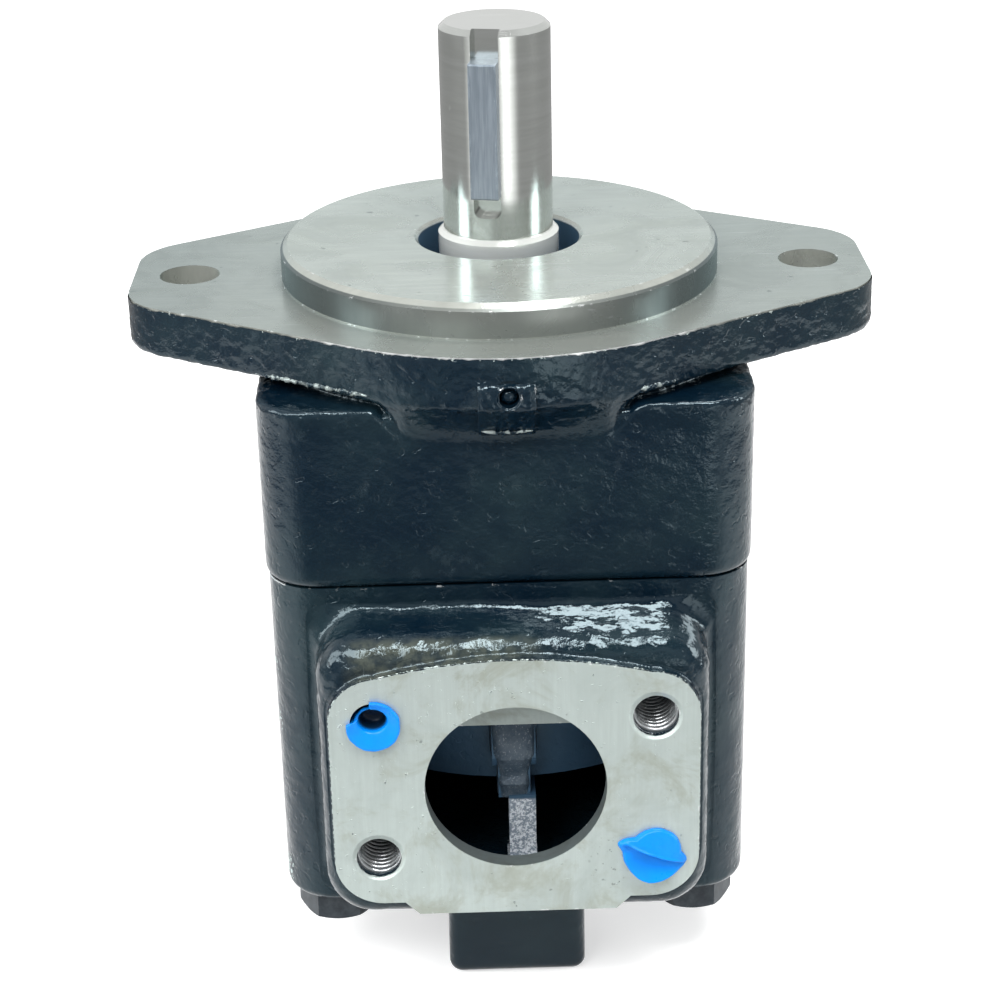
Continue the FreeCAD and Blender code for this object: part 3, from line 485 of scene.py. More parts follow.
def humpLean(at):
    # the rough top of the port neck slopes towards the pad, more so in its right half
    onTop = at.z.step(-0.0845, -0.0795) * at.y.step(-0.0860, -0.0820)
    right = (at.x + (at.y + 0.075) * 0.9).step(-0.010, 0.016, 0.10, 1.0)
    broken = objectPoint(at.x.tree, (0.6, 1, 1)).noise(330, 3.0, 0.65).step(0.34, 0.56, 0.50, 0.92)
    return onTop * right * broken


def bodyGrain(at):
    # the body walls are smoother than the flange's edge
    return at.z.step(-0.027, -0.017, 0.42, 1.0)


def rimMachined(at):
    # chips of bare iron along the flange's upper rim
    return (at.z + at.jag * 0.0060).step(0.0001, 0.0004)


def neckMachined(at):
    # chips of bare iron along the pad's rim
    return (at.y + at.jag * 0.0045).step(-0.0915, -0.0917)


def flashPaintedHighlight(at):
    # painted highlight: bright bare-iron spots along the flash, to make its thin line shine more
    return at.point.noise(420, 3.0, 0.6).step(0.42, 0.56, 0.0, 0.45)


castings = {
    "housing": dict(name="paintedHousing", metalLook=housingIronShaded, machined=housingMachined, wear=0.16,
                    marks=(40, 600, 40), bore=housingBore, stain=0.15, shade=pilotPaintedShade,
                    rim=flangeRim, chips=topChips),
    "cap": dict(name="paintedCap", metalLook=capIronLit, machined=capMachined, wear=0.12, marks=(900, 60, 40),
                bore=capBore, stain=0.70, shade=mouthPaintedShade, pits=capPits, sand=capSand,
                chamfer=capChamfer, chips=capChips),
    "housingCast": dict(name="paintedHousingCast", metalLook=capIronLit, machined=rimMachined, grain=bodyGrain),
    "boss": dict(name="paintedBoss", metalLook=capIronLit, machined=rimMachined, wear=0.25, grain=bodyGrain),
    # the flash's bright spots are a painted highlight
    "flash": dict(name="paintedFlash", metalLook=capIronLit, machined=flashPaintedHighlight, lumps=0.85),
    "neck": dict(name="paintedNeck", metalLook=capIronLit, machined=neckMachined, wear=0.10, lumps=0.85,
                 lean=humpLean, tan=humpPaintedReflection),
}


def bareCastingMaterial(name):
    # unpainted casting: dark blue grey with light grains of sand
    material, tree, shader = newMaterial(name)
    point = objectPoint(tree)
    sand, tone = point.noise(1500, 2.0, 0.7), point.noise(160, 4.0, 0.6)
    colour = tone.step(0.35, 0.7).colour((0.040, 0.066, 0.095), (0.085, 0.115, 0.145))
    colour = sand.step(0.60, 0.68, 0.0, 0.5).colour(colour, (0.34, 0.38, 0.42))
    normal = (tone + sand * 0.4).bump(0.0006)
    fill(shader, {"Base Color": colour, "Roughness": 0.42, "Metallic": 0.25, "Normal": normal})
    return material


# plain steels, bronze, rubber and plastic

steels = {
    # name, light and dark colour, roughness, stretch of the cutter marks, and what else differs
    "thread": ("cutThread", (0.62, 0.64, 0.65), (0.36, 0.38, 0.39), 0.26, (300, 2400, 300), {"metallic": 0.75}),
    "shaft": ("groundShaft", (0.60, 0.62, 0.60), (0.55, 0.57, 0.545), 0.15, (30, 30, 500),
              {"metallic": 1.0, "wearAmount": 0.15, "collarTop": 0.0129}),
    "key": ("keySteel", (0.31, 0.36, 0.41), (0.21, 0.25, 0.29), 0.36, (900, 900, 60), {"metallic": 0.75}),
    "cartridge": ("cartridgeSteel", (0.46, 0.47, 0.47), (0.30, 0.31, 0.31), 0.30, (500, 500, 500), {}),
    "race": ("bearingSteel", (0.62, 0.63, 0.64), (0.50, 0.51, 0.52), 0.16, (60, 60, 2600), {"metallic": 1.0}),
    "screw": ("darkScrews", (0.050, 0.062, 0.072), (0.020, 0.027, 0.034), 0.42, (300, 300, 300), {"metallic": 0.35}),
    "bronze": ("bushBronze", (0.62, 0.42, 0.18), (0.42, 0.27, 0.11), 0.34, (60, 60, 1800), {"metallic": 1.0}),
}
softs = {
    # name, two near tones, roughness, height of the grain in m, and the painted shade colour down the ring plug's hole
    "blue": ("bluePlastic", (0.0, 0.185, 0.64), (0.0, 0.158, 0.56), 0.33, 0.00003, (0.002, 0.012, 0.030)),
    "rubber": ("sealRubber", (0.016, 0.017, 0.018), (0.030, 0.031, 0.032), 0.55, 0.00004),
}


def steelMaterial(name, colour, dark, roughness, marksScale, metallic=0.9, wearAmount=0.35, collarTop=0.0):
    # cutter marks and smudges between two tones, bright where scratched or worn
    material, tree, shader = newMaterial(name)
    point = objectPoint(tree)
    marks, smudge, scratch = place(tree, machinedMarks, Point=point, Drawn=objectPoint(tree, marksScale), Scratches=0.5)
    worn = place(tree, edgeWear, Point=point, Radius=0.0006, Amount=wearAmount)[0]
    base = smudge.step(0.42, 0.80, 0.0, 0.5).colour(marks.step(0.30, 0.72).colour(dark, colour), dark)
    base = (scratch | worn).colour(base, tuple(min(1.0, level * 1.35) for level in colour))
    if collarTop:
        # the collar under the shaft's shoulder catches light from all round
        metallic = point.parts()[2].step(collarTop - 0.0002, collarTop + 0.0002, 0.55, metallic)
    fill(shader, {"Base Color": base, "Roughness": smudge.step(0.3, 0.8, roughness * 0.8, roughness * 1.3),
                  "Metallic": metallic, "Normal": marks.bump(0.000008)})
    return material


def softMaterial(name, colour, second, roughness, grainHeight, holeShade=None):
    # rubber and moulded plastic: two near tones and a fine grain; the last colour, when given, is painted shade down
    # the ring plug's hole
    material, tree, shader = newMaterial(name)
    point = objectPoint(tree)
    tone = point.noise(120, 4.0, 0.6)
    base = tone.step(0.35, 0.7).colour(colour, second)
    if holeShade:
        x, y, z = point.parts()
        middle, hole = ringPlug["middle"], ringPlug["hole"][0] + 0.5
        inside = ringMask(x, z, middle[0] * mm, (middle[1] + ringPlug["holeUp"]) * mm, hole * mm, 0.0002)
        # painted shade: inside the ring plug's hole the plastic is darkened to the last colour
        base = (inside * y.step(-0.0920, -0.0905)).colour(base, holeShade)
        shader.inputs["Specular IOR Level"].default_value = 0.22
    fill(shader, {"Base Color": base, "Roughness": tone.step(0.3, 0.7, roughness * 0.8, roughness * 1.25),
                  "Normal": point.noise(900, 3.0).bump(grainHeight)})
    return material


def makeMaterials():
    made = {key: castingMaterial(**look) for key, look in castings.items()}
    made["bareCasting"] = bareCastingMaterial("bareCasting")
    made.update({key: steelMaterial(*look[:-1], **look[-1]) for key, look in steels.items()})
    made.update({key: softMaterial(*look) for key, look in softs.items()})
    return made


finishOf = {
    "front_housing": "housing", "gallery_plug": "housing", "end_cap": "cap", "body_bolts": "screw",
    "body_seal": "rubber", "hub_seal": "rubber", "plate_seal": "rubber", "seal_lip": "rubber",
    "shaft": "shaft", "shaft_key": "key", "seal_case": "screw", "seal_spring": "race",
    "bearing_outer_race": "race", "bearing_inner_race": "race", "bearing_balls": "race",
    "bearing_cage": "bronze", "rear_bush": "bronze", "bearing_circlip": "screw", "shaft_circlip": "screw",
    "cartridge_dowels": "race", "cartridge_screws": "screw", "ring_plug": "blue", "flap_plug": "blue",
}


def dressCad(materials):
    # every CAD node gets its finish; what isn't named is part of the cartridge
    for name, piece in cadNodes.items():
        material = materials[finishOf.get(name, "cartridge")]
        if not piece.material_slots:
            piece.data.materials.append(material)
        for slot in piece.material_slots:
            slot.material = material


def makeWorld():
    # white to the camera; mirrored, bright behind and dark behind the camera; an even grey for matt light
    world = bpy.data.worlds.new("studio")
    bpy.context.scene.world = world
    world.use_nodes = True
    tree = world.node_tree
    _, y, z = addNode(tree, "TexCoord", {}, "Generated").parts()
    low = z.step(0.02, 0.14) * z.step(0.62, 0.45)
    mirrored = y.step(-0.55, 0.15, room["frontDark"], room["backBright"])
    mirrored = mirrored + low * y.step(-0.35, -0.60) * room["frontGlow"]
    level = lightPath(tree, "Is Glossy Ray").blend(room["skyLevel"], mirrored)
    for kind in ("Is Camera Ray", "Is Transmission Ray"):
        level = lightPath(tree, kind).blend(level, 1.0)
    fill(tree.nodes["Background"], {"Strength": level, "Color": (1, 1, 1)})


def makeFloor():
    # a flat pale sheet; glossy rays see levels by distance and side instead
    half = room["floorHalf"]
    mesh = bpy.data.meshes.new("floor")
    corners = ((-half, -half), (half, -half), (half, half), (-half, half))
    mesh.from_pydata([(a, b, room["floorZ"] * mm) for a, b in corners], [], [(0, 1, 2, 3)])
    floor = addObject("floor", mesh)
    material, tree, shader = newMaterial("paleFloor")
    tree.nodes.remove(shader)
    x, y, _ = objectPoint(tree).parts()
    far = planeReach(x, y)
    facing, across = y / (far + 0.001), x / (far + 0.001)  # facing is -1 in front of the pump, 1 behind it
    a, b, c, d = room["floorSteps"]
    beyond = far.step(c, d)
    strips = []
    for rise, top, fall, end in (room["strip"], room["leftStrip"]):
        strips.append(across.step(rise, top) * across.step(end, fall))
    strip, left = strips
    front = far.step(a, b, room["nearFloor"], room["darkFloor"])
    front = front + beyond * (strip * room["stripLevel"] + (room["farFloor"] - room["darkFloor"]))
    sideLevel = beyond.blend(room["sideFloor"], room["farFloor"]) + left * beyond * room["leftLevel"]
    mirrored = (facing.step(-0.93, -0.55) * (strip * beyond).step(0.3, 0.0)).blend(front, sideLevel)
    mirrored = facing.step(-0.3, 0.3).blend(mirrored, beyond.blend(room["nearBack"], room["farBack"]))
    glossy = lightPath(tree, "Is Glossy Ray")
    ownGlow = far.step(*room["glowSteps"], 0.0, room["farGlow"]) + room["floorGlow"]
    strength = glossy * mirrored + lightPath(tree, "Is Camera Ray") * ownGlow
    matt = addNode(tree, "BsdfDiffuse", {"Color": glossy.colour((room["floorGrey"],) * 3, (0.0, 0.0, 0.0))})
    glow = addNode(tree, "Emission", {"Strength": strength})
    fill(tree.nodes["Material Output"], {"Surface": addNode(tree, "AddShader", {0: matt, 1: glow})})
    mesh.materials.append(material)


# surfaces from numpy grids

tiny = 1e-9


def sheetPiece(name, grid, material, body="pump_body", closed=True, poles=False,
               ends=False):
    # grid[row, column] = a point in mm. Columns close on themselves where closed; poles join the first and last
    # row each to its middle; ends closes them with a flat face instead. Faces are turned outward
    rows, columns = grid.shape[:2]
    points = grid.reshape(-1, 3)
    row = np.arange(rows - 1)[:, None]
    column = np.arange(columns if closed else columns - 1)[None, :]
    after = (column + 1) % columns
    faces = np.stack([row * columns + column, row * columns + after,
                      (row + 1) * columns + after, (row + 1) * columns + column], axis=-1).reshape(-1, 4).tolist()
    ring = np.arange(columns)
    for start in (0, (rows - 1) * columns) if poles else ():
        fan = np.stack([ring + start, np.roll(ring, -1) + start, np.full(columns, len(points))], axis=-1)
        points = np.vstack([points, points[start:start + columns].mean(axis=0)])
        faces += (fan[:, ::-1] if start == 0 else fan).tolist()
    if ends:
        faces += [ring[::-1].tolist(), (ring + (rows - 1) * columns).tolist()]
    mesh = bpy.data.meshes.new(name)
    mesh.from_pydata((points * mm).tolist(), [], faces)
    mesh.validate()
    work = bmesh.new()
    work.from_mesh(mesh)
    if work.calc_volume(signed=True) < 0:
        mesh.flip_normals()
    work.free()
    mesh.shade_smooth()
    mesh.materials.append(material)
    piece = addObject(name, mesh)
    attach(piece, body)
    return piece


def dropFaces(piece, chosen):
    # removes the faces whose middle, in mm, is chosen
    mesh = piece.data
    middles = np.empty(len(mesh.polygons) * 3, np.float32)
    mesh.polygons.foreach_get("center", middles)
    gone = np.nonzero(chosen(middles.reshape(-1, 3) / mm))[0]
    work = bmesh.new()
    work.from_mesh(mesh)
    work.faces.ensure_lookup_table()
    bmesh.ops.delete(work, geom=[work.faces[i] for i in gone], context="FACES")
    work.to_mesh(mesh)
    work.free()


def gridNormals(grid, outward, closed=True):
    # unit normals of a grid, the cross products of its two directions, on the outward side
    if closed:
        across = np.roll(grid, -1, axis=1) - np.roll(grid, 1, axis=1)
    else:
        across = np.gradient(grid, axis=1)
    normal = np.cross(across, np.gradient(grid, axis=0))
    normal = normal / np.maximum(np.linalg.norm(normal, axis=2, keepdims=True), tiny)
    return -normal if (normal * outward).sum() < 0 else normal


def castLumps(points, seed, longest, shortest, count=56):
    # sum of plane waves with seeded ways and phases, longer waves higher; about 1 high at its tops
    draw = np.random.default_rng(seed)
    ways = draw.normal(size=(count, 3))
    ways /= np.linalg.norm(ways, axis=1, keepdims=True)
    lengths = np.exp(draw.uniform(np.log(shortest), np.log(longest), count))
    heights = np.sqrt(lengths / longest)
    phases = draw.uniform(0, 2 * np.pi, count)
    waves = np.cos(points.reshape(-1, 3) @ (ways * (2 * np.pi / lengths)[:, None]).T + phases)
    total = (waves * heights).sum(axis=1) / np.sqrt((heights ** 2).sum() / 2)
    return np.tanh(total * 0.6).reshape(points.shape[:-1])


def radial(angle):
    # the unit vector that points out at each angle
    return np.stack([np.cos(angle), np.sin(angle), angle * 0], axis=-1)


def pushedOpen(a, b, hole, reach):
    # a, b = offset from a hole's middle. Gives the factor that moves points within reach out to the hole's
    # rim, the nearest ones the most, and how far from the middle they are then
    far = np.hypot(a, b)
    pushed = np.where(far < reach, hole + far * (reach - hole) / reach, far)
    return pushed / np.maximum(far, 1e-6), pushed


def easeStep(value, low, high):
    # smooth step from 0 to 1 as value goes from low to high
    share = np.clip((value - low) / (high - low), 0, 1)
    return share * share * (3 - 2 * share)


def bell(value, middle, wide):
    # 1 at the middle, falling off on both sides
    return np.exp(-((value - middle) / wide) ** 2)


def rectangleReach(angle, halfX, halfZ, corner):
    # distance from the middle of a rounded rectangle to its edge along each angle
    c, s = np.abs(np.cos(angle)), np.abs(np.sin(angle))
    box = np.minimum(halfX / np.maximum(c, tiny), halfZ / np.maximum(s, tiny))
    a, b = halfX - corner, halfZ - corner
    near = a * c + b * s
    bend = near + np.sqrt(np.maximum(near ** 2 - (a ** 2 + b ** 2 - corner ** 2), 0))
    return np.where((box * c > a) & (box * s > b), bend, box)


# port neck: the rough cast swelling round the machined suction pad

portNeck = {
    "half": (54.2, 44.0), "corner": 13.5, "midZ": -121.5, "round": 8.0,  # the neck, mm
    "padHalf": 51.2, "padTop": -86.65, "padCrown": 4.6, "padLow": -158.05, "padStep": (28.0, 4.0),
    "topRoot": -68.03, "sideRoot": -67.95,  # where it starts from the cap
    "flare": 3.6, "topFlare": 2.6, "squarer": 9.5, "skin": 0.30,
    "front": 3.0, "rimStop": 0.75,  # how far the front and the end of the skin lie behind the pad's face
    "padInset": 1.1, "padGap": 0.22,  # where the pad's own side starts inside the neck's edge; gap to the pad
    "rim": ((0.35, 0.22), (0.7, 0.22), (1.0, 0.20), (1.05, 0.05), (0.95, -0.4)),  # share of the way up, gap to the pad
    "roughTop": 0.17, "roughSide": 0.07,  # height of the casting lumps
    "around": 900,
}


def padReach(angle):
    # distance from the neck's middle to the pad outline along each angle: crown arc, corners, sides, stepped foot
    look = portNeck
    half, r, top, low = look["padHalf"], look["corner"], look["padTop"], look["padLow"]
    footHalf, footDrop = look["padStep"]
    flat = half - r
    crownR = (flat ** 2 + look["padCrown"] ** 2) / (2 * look["padCrown"])
    x = np.linspace(0, flat, 60)
    z = top + look["padCrown"] - crownR + np.sqrt(crownR ** 2 - x ** 2)
    bend = np.linspace(np.pi / 2, 0, 40)
    pieces = [np.stack([x, z], 1),
              np.stack([flat + r * np.cos(bend), top - r + r * np.sin(bend)], 1),
              np.stack([flat + r * np.cos(-bend[::-1]), low + r + r * np.sin(-bend[::-1])], 1),
              np.stack([np.linspace(flat, footHalf + footDrop, 20), np.full(20, low)], 1),
              np.stack([np.linspace(footHalf + footDrop, footHalf, 20), np.linspace(low, low - footDrop, 20)], 1),
              np.stack([np.linspace(footHalf, 0, 60), np.full(60, low - footDrop)], 1)]
    right = np.vstack(pieces)
    # the straight sides are filled in finely, because a ray meets them at every angle
    dense = np.vstack([np.linspace(right[i], right[i + 1], 12) for i in range(len(right) - 1)])
    dense = np.vstack([dense, (dense * [-1, 1])[::-1]])
    turn = np.arctan2(dense[:, 1] - look["midZ"], dense[:, 0])
    far = np.hypot(dense[:, 0], dense[:, 1] - look["midZ"])
    order = np.argsort(turn)
    return np.interp(angle, turn[order], far[order], period=2 * np.pi)


def makePortNeck(material):
    # rows run from a flare on the cap, straight out, round a quarter circle over the edge, in to the pad
    # along the inset outline, up the pad's side and under its rim; lumps push them out along the normal.
    # A point's inset and height on the quarter circle = bend * (1 - cos turn) and bend * sin turn
    look = portNeck
    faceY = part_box("end_cap")[0].y / mm
    angle = np.linspace(-np.pi, np.pi, look["around"], endpoint=False)
    c, s = np.cos(angle), np.sin(angle)
    halfX, halfZ = look["half"]
    r, skin, bend = look["corner"], look["skin"], look["round"]
    frontY = faceY + look["front"]
    pad = padReach(angle)
    topShare = easeStep(s - 0.75 * np.abs(c), 0.0, 0.35)
    root = look["sideRoot"] + (look["topRoot"] - look["sideRoot"]) * topShare
    flare = look["flare"] + (look["topFlare"] - look["flare"]) * topShare
    px, pz = np.abs(pad * c), np.abs(pad * s)
    qx, qz = px - (halfX - r), pz - (halfZ - r)
    depth = -(np.hypot(np.maximum(qx, 0), np.maximum(qz, 0)) + np.minimum(np.maximum(qx, qz), 0) - r)
    depth = np.maximum(depth - look["padInset"], 0.3)
    rows = []

    def row(reach, y):
        rows.append(np.stack([reach * c, y + c * 0, look["midZ"] + reach * s], axis=-1))

    def ring(inset, y, extra=0.0, squarer=0.0):
        reach = rectangleReach(angle, halfX - inset, halfZ - inset, np.maximum(r - inset - squarer, 1.0)) + extra
        row(reach, y)

    for turn in np.linspace(0, np.pi / 2, 9):
        ring(-skin, root - flare * (1 - np.cos(turn)), flare * (1 - np.sin(turn)), look["squarer"] * (1 - np.sin(turn)))
    startY = root - flare
    for t in np.linspace(0, 1, 24)[1:]:
        ring(-skin, startY + (frontY + bend - startY) * t)
    flat = np.maximum(depth - bend, 0)
    endTurn = np.arccos(np.clip(1 - np.minimum(depth, bend) / bend, -1, 1))
    whole = bend * endTurn + flat
    for t in np.linspace(0, 1, 30)[1:]:
        run = t * whole
        turn = np.minimum(run / bend, endTurn)
        inset = bend * (1 - np.cos(turn)) - skin * np.cos(turn) + np.maximum(run - bend * endTurn, 0)
        ring(inset, frontY + bend - (bend + skin) * np.sin(turn))
    last = rows[-1]
    lastReach, lastY = np.hypot(last[:, 0], last[:, 2] - look["midZ"]), last[:, 1]
    rimY = faceY + look["rimStop"]
    for turn in np.linspace(0, np.pi / 2, 9)[1:]:
        reach = lastReach + (pad + look["padGap"] - lastReach) * np.sin(turn)
        row(reach, lastY - np.minimum(1.2, np.maximum(lastY - rimY, 0) * 0.6) * (1 - np.cos(turn)))
    cornerY = rows[-1][:, 1]
    for t, extra in look["rim"]:
        row(pad + extra, cornerY + (rimY - cornerY) * t)
    grid = np.array(rows)
    normal = gridNormals(grid, grid - np.array([0, -60.0, look["midZ"]]))
    share = np.arange(len(grid))[:, None] / (len(grid) - 1)
    fade = easeStep(share, 0.0, 0.06) * (1 - easeStep(share, 0.86, 0.93))
    high = look["roughSide"] + (look["roughTop"] - look["roughSide"]) * easeStep(s, 0.15, 0.55)[None, :]
    drawn = grid * [0.75, 1.15, 1.15]
    lumps = castLumps(drawn, 11, 8.5, 2.6, 70) * 0.82 + castLumps(drawn, 12, 3.4, 1.7, 60) * 0.18
    lift = np.clip(lumps * high, -0.24, 0.7) * fade
    grid = grid + normal * lift[..., None]
    sheetPiece("port_neck_cast", grid[::-1], material)


# housing casting: flange edge, neck, ledges and body walls as one cast skin

housingCast = {
    "flangeArc": 77.0, "ear": (86.7, 13.037, 20.0), "flangeLow": -14.0,  # ear middle x, y and radius, mm
    "bodyHalf": 68.498, "bodyCorner": 15.0, "ledge": -17.7, "joint": -70.3,
    "neck": 68.2, "fillet": 12.0, "skin": 0.34, "soften": 2,  # rows each way
    # the web: z of its top and foot, and how many degrees from the front it begins to end and ends
    "web": (-14.5, -29.0, 20.0, 29.0),
    "bolt": (90.5, 8.95, 12.6),  # x, hole radius and how far its rim is pushed out
    "rim": -0.30, "rimChips": 0.55, "flangeLumps": 0.19, "bodyLumps": 0.080,
    "lumpSteps": (-22.0, -16.0), "lumpLimits": (-0.15, 0.4), "boxGap": 0.005, "underZ": -10,
    "around": 680, "down": 144, "ball": (0.6, -11.2, 4.6),
    # the pressure port and its tapped holes at the back: x, z and radius left open
    "portHoles": ((0.0, -42.0, 17.2), (29.35, -57.1, 7.4), (29.35, -26.9, 7.4)),
}


def flangeReach(angle):
    # ray length to the flange outline: the least of the distances to its tangent lines, whose own
    # distance is the ear's up to the common tangent and the wide arc's past it
    x, y, r = housingCast["ear"]
    wide = housingCast["flangeArc"]
    touch = math.atan2(y, x) + math.acos((wide - r) / math.hypot(x, y))
    way = np.radians(np.arange(0, 90.01, 0.15))
    support = np.where(way <= touch, x * np.cos(way) + y * np.sin(way) + r, wide)
    turn = np.arctan2(np.abs(np.sin(angle)), np.abs(np.cos(angle)))
    lean = np.cos(turn[:, None] - way[None, :])
    return np.where(lean > 0.05, support[None, :] / np.maximum(lean, 0.05), 1e9).min(axis=1)


def softenRows(grid, rows):
    # moving mean along the first axis; the end rows stay
    padded = np.concatenate([grid[:1]] * rows + [grid] + [grid[-1:]] * rows)
    total = np.cumsum(np.concatenate([padded[:1] * 0, padded]), axis=0)
    size = 2 * rows + 1
    mean = (total[size:] - total[:-size]) / size
    mean[0], mean[-1] = grid[0], grid[-1]
    return mean


def makeHousingCast(material):
    # for each angle a profile of radius and height: down the flange edge, in under it, down the concave
    # neck, out over the ledge, down the body wall and in at the joint; resampled by length and softened
    look = housingCast
    angle = np.linspace(-np.pi, np.pi, look["around"], endpoint=False)
    flange = flangeReach(angle)
    body = rectangleReach(angle, look["bodyHalf"], look["bodyHalf"], look["bodyCorner"])
    skin, joint = look["skin"], look["joint"]
    middleR = look["neck"] + look["fillet"]
    middleZ = look["flangeLow"] - look["fillet"]
    arcR = look["fillet"] - skin

    def arcZ(radius):
        return middleZ + np.sqrt(np.maximum(arcR ** 2 - (middleR - radius) ** 2, 0))

    flangeR = flange + skin
    bodyR = body + skin
    start = np.minimum(flangeR, middleR)
    ledgeR = middleR - math.sqrt(arcR ** 2 - (look["ledge"] + skin - middleZ) ** 2)
    stop = np.minimum(bodyR, ledgeR)
    ragged = castLumps(radial(angle) * 80, 31, 8, 1.2, 60)
    rim = look["rim"] - look["rimChips"] * np.clip(ragged, 0, 1) ** 2
    low = arcZ(start)
    points = [(flangeR, rim), (flangeR, -5.0), (flangeR, low)]
    points += [(flangeR + (start - flangeR) * t, low) for t in (0.5, 1.0)]
    points += [(start + (stop - start) * t, arcZ(start + (stop - start) * t)) for t in np.linspace(0, 1, 14)[1:]]
    last = points[-1][1]
    points += [(stop + (bodyR - stop) * t, last) for t in (0.33, 0.66, 1.0)]
    points += [(bodyR, last + (joint + 2.2 - last) * t) for t in (0.25, 0.5, 0.75, 1.0)]
    points += [(bodyR - inset, joint + up) for inset, up in ((0.35, 1.2), (1.1, 0.45), (2.2, 0.1))]
    profile = np.stack([np.stack([r, z + r * 0], axis=-1) for r, z in points])  # point, angle, (r, z)
    # at the middle of the front a sloped web fills the hollow under the flange
    topZ, lowZ, inner, outer = look["web"]
    web = 1 - easeStep(np.abs(np.degrees(angle) + 90), inner, outer)
    hollow = profile[2:-7]  # from the flange's lower edge to the body's upper one
    down = np.linspace(0, 1, len(hollow))[:, None]
    slopeR = flangeR + (bodyR - flangeR) * (1 - (1 - down) ** 2)
    slope = np.stack([slopeR, topZ + (lowZ - topZ) * down + 0 * flangeR], axis=-1)
    hollow += (slope - hollow) * web[None, :, None]
    runs = np.linalg.norm(np.diff(profile, axis=0), axis=2)
    lengths = np.concatenate([np.zeros((1, len(angle))), np.cumsum(runs, axis=0)])
    count = look["down"]
    share = np.linspace(0, 1, count)
    even = np.empty((count, len(angle), 2))
    for column, whole in enumerate(lengths.T):
        for part in range(2):
            even[:, column, part] = np.interp(share * whole[-1], whole, profile[:, column, part])
    even = softenRows(softenRows(even, look["soften"]), 1)
    grid = radial(angle) * even[..., :1] + [0, 0, 1] * even[..., 1:]
    normal = gridNormals(grid, radial(angle)[None])
    height = grid[..., 2]
    high = look["bodyLumps"] + (look["flangeLumps"] - look["bodyLumps"]) * easeStep(height, *look["lumpSteps"])
    lumps = castLumps(grid, 32, 7.0, 1.8, 64) * 0.65 + castLumps(grid, 33, 2.4, 1.1, 50) * 0.35
    ends = easeStep(np.arange(count), 1, 7) * (1 - easeStep(np.arange(count), count - 12, count - 2))
    grid = grid + normal * (np.clip(lumps * high, *look["lumpLimits"]) * ends[:, None])[..., None]
    # round the bolt holes: points over a hole are pushed to its rim and the faces left across it are dropped
    boltX, hole, reach = look["bolt"]
    dx, dy = np.abs(grid[..., 0]) - boltX, grid[..., 1]
    scale = np.where(height < look["underZ"], pushedOpen(dx, dy, hole, reach)[0], 1.0)
    grid[..., 0] = np.sign(grid[..., 0]) * (boltX + dx * scale)
    grid[..., 1] = dy * scale
    # the skin stays inside the box of the solids
    low, high = (np.array(corner)[:2] / mm for corner in cadBox)
    grid[..., :2] = np.clip(grid[..., :2], low + look["boxGap"], high - look["boxGap"])
    piece = sheetPiece("front_housing_cast", grid, material)
    dropFaces(piece, lambda m: (np.hypot(np.abs(m[:, 0]) - boltX, m[:, 1]) < hole - 0.15) & (m[:, 2] < look["underZ"]))
    for holeX, holeZ, wide in look["portHoles"]:
        dropFaces(piece, lambda m: (np.hypot(np.abs(m[:, 0]) - holeX, m[:, 2] - holeZ) < wide) & (m[:, 1] > 60))
    ballX, ballZ, wide = look["ball"]
    dropFaces(piece, lambda m: (np.hypot(m[:, 0] - ballX, m[:, 2] - ballZ) < wide) & (m[:, 1] < -60))


castFlash = {
    # the flange's runs: degrees from the front, radius, how far the middle lies inside the edge, height; mm
    "runs": ((-55, -28), (28, 37)), "radius": 0.66, "inside": 0.22, "z": -13.3,
    # the run across the boss: half its length, y and z, radius
    "boss": (6.9, -72.75, -22.5, 0.42),
}


def flashTube(name, middle, outward, radius, seed, material):
    # casting flash: a tube round the line of middles, uneven and thinner at both ends
    share = np.linspace(0, 1, len(middle))
    radius = radius * (0.25 + 0.75 * easeStep(share, 0, 0.12) * (1 - easeStep(share, 0.85, 1)))
    radius = radius * (1 + 0.35 * castLumps(middle, 50 + seed, 4, 0.8, 40))
    turn = np.linspace(0, 2 * np.pi, 20, endpoint=False)[:, None]
    up = np.array([0.0, 0.0, 1.0])
    grid = middle[:, None] + radius[:, None, None] * (outward[:, None] * np.cos(turn) + up * np.sin(turn))
    grid = grid + up * 0.12 * castLumps(middle, 60 + seed, 5, 1.5, 30)[:, None, None]
    sheetPiece(name, grid, material, ends=True)


def makeCastFlash(material):
    look = castFlash
    for number, (start, stop) in enumerate(look["runs"], 1):
        along = np.radians(np.linspace(start, stop, int(10.5 * (stop - start))) - 90)
        far = flangeReach(along) + housingCast["skin"] - look["inside"]
        middle = radial(along) * far[:, None] + [0, 0, look["z"]]
        flashTube(f"flange_flash_{number}", middle, radial(along), look["radius"], number, material)
    half, y, z, radius = look["boss"]
    x = np.linspace(-half, half, 150)
    middle = np.stack([x, x * 0 + y, z - 0.35 * (1 - (x / half) ** 4)], -1)
    flashTube("boss_flash", middle, np.tile([0.0, -1.0, 0.0], (len(x), 1)), radius, 4, material)


galleryBoss = {
    # half width, then y and z down the front: top, face, bend, slope; mm
    "half": 7.75,
    "front": ((-75.4, -6.9), (-77.5, -7.5), (-78.35, -8.6), (-78.35, -14.2), (-77.6, -15.4), (-74.9, -18.9),
              (-72.6, -22.4), (-71.6, -23.9), (-69.6, -25.0), (-68.0, -25.3)),
    "bend": 0.86, "side": 3.2, "round": (0.66, 0.55),  # share where the sides start, their depth, the edge's rounding
    "hole": (0.6, -11.2, 2.75), "reach": 3.6, "dip": (0.5, 0.7), "lumps": 0.10,
}


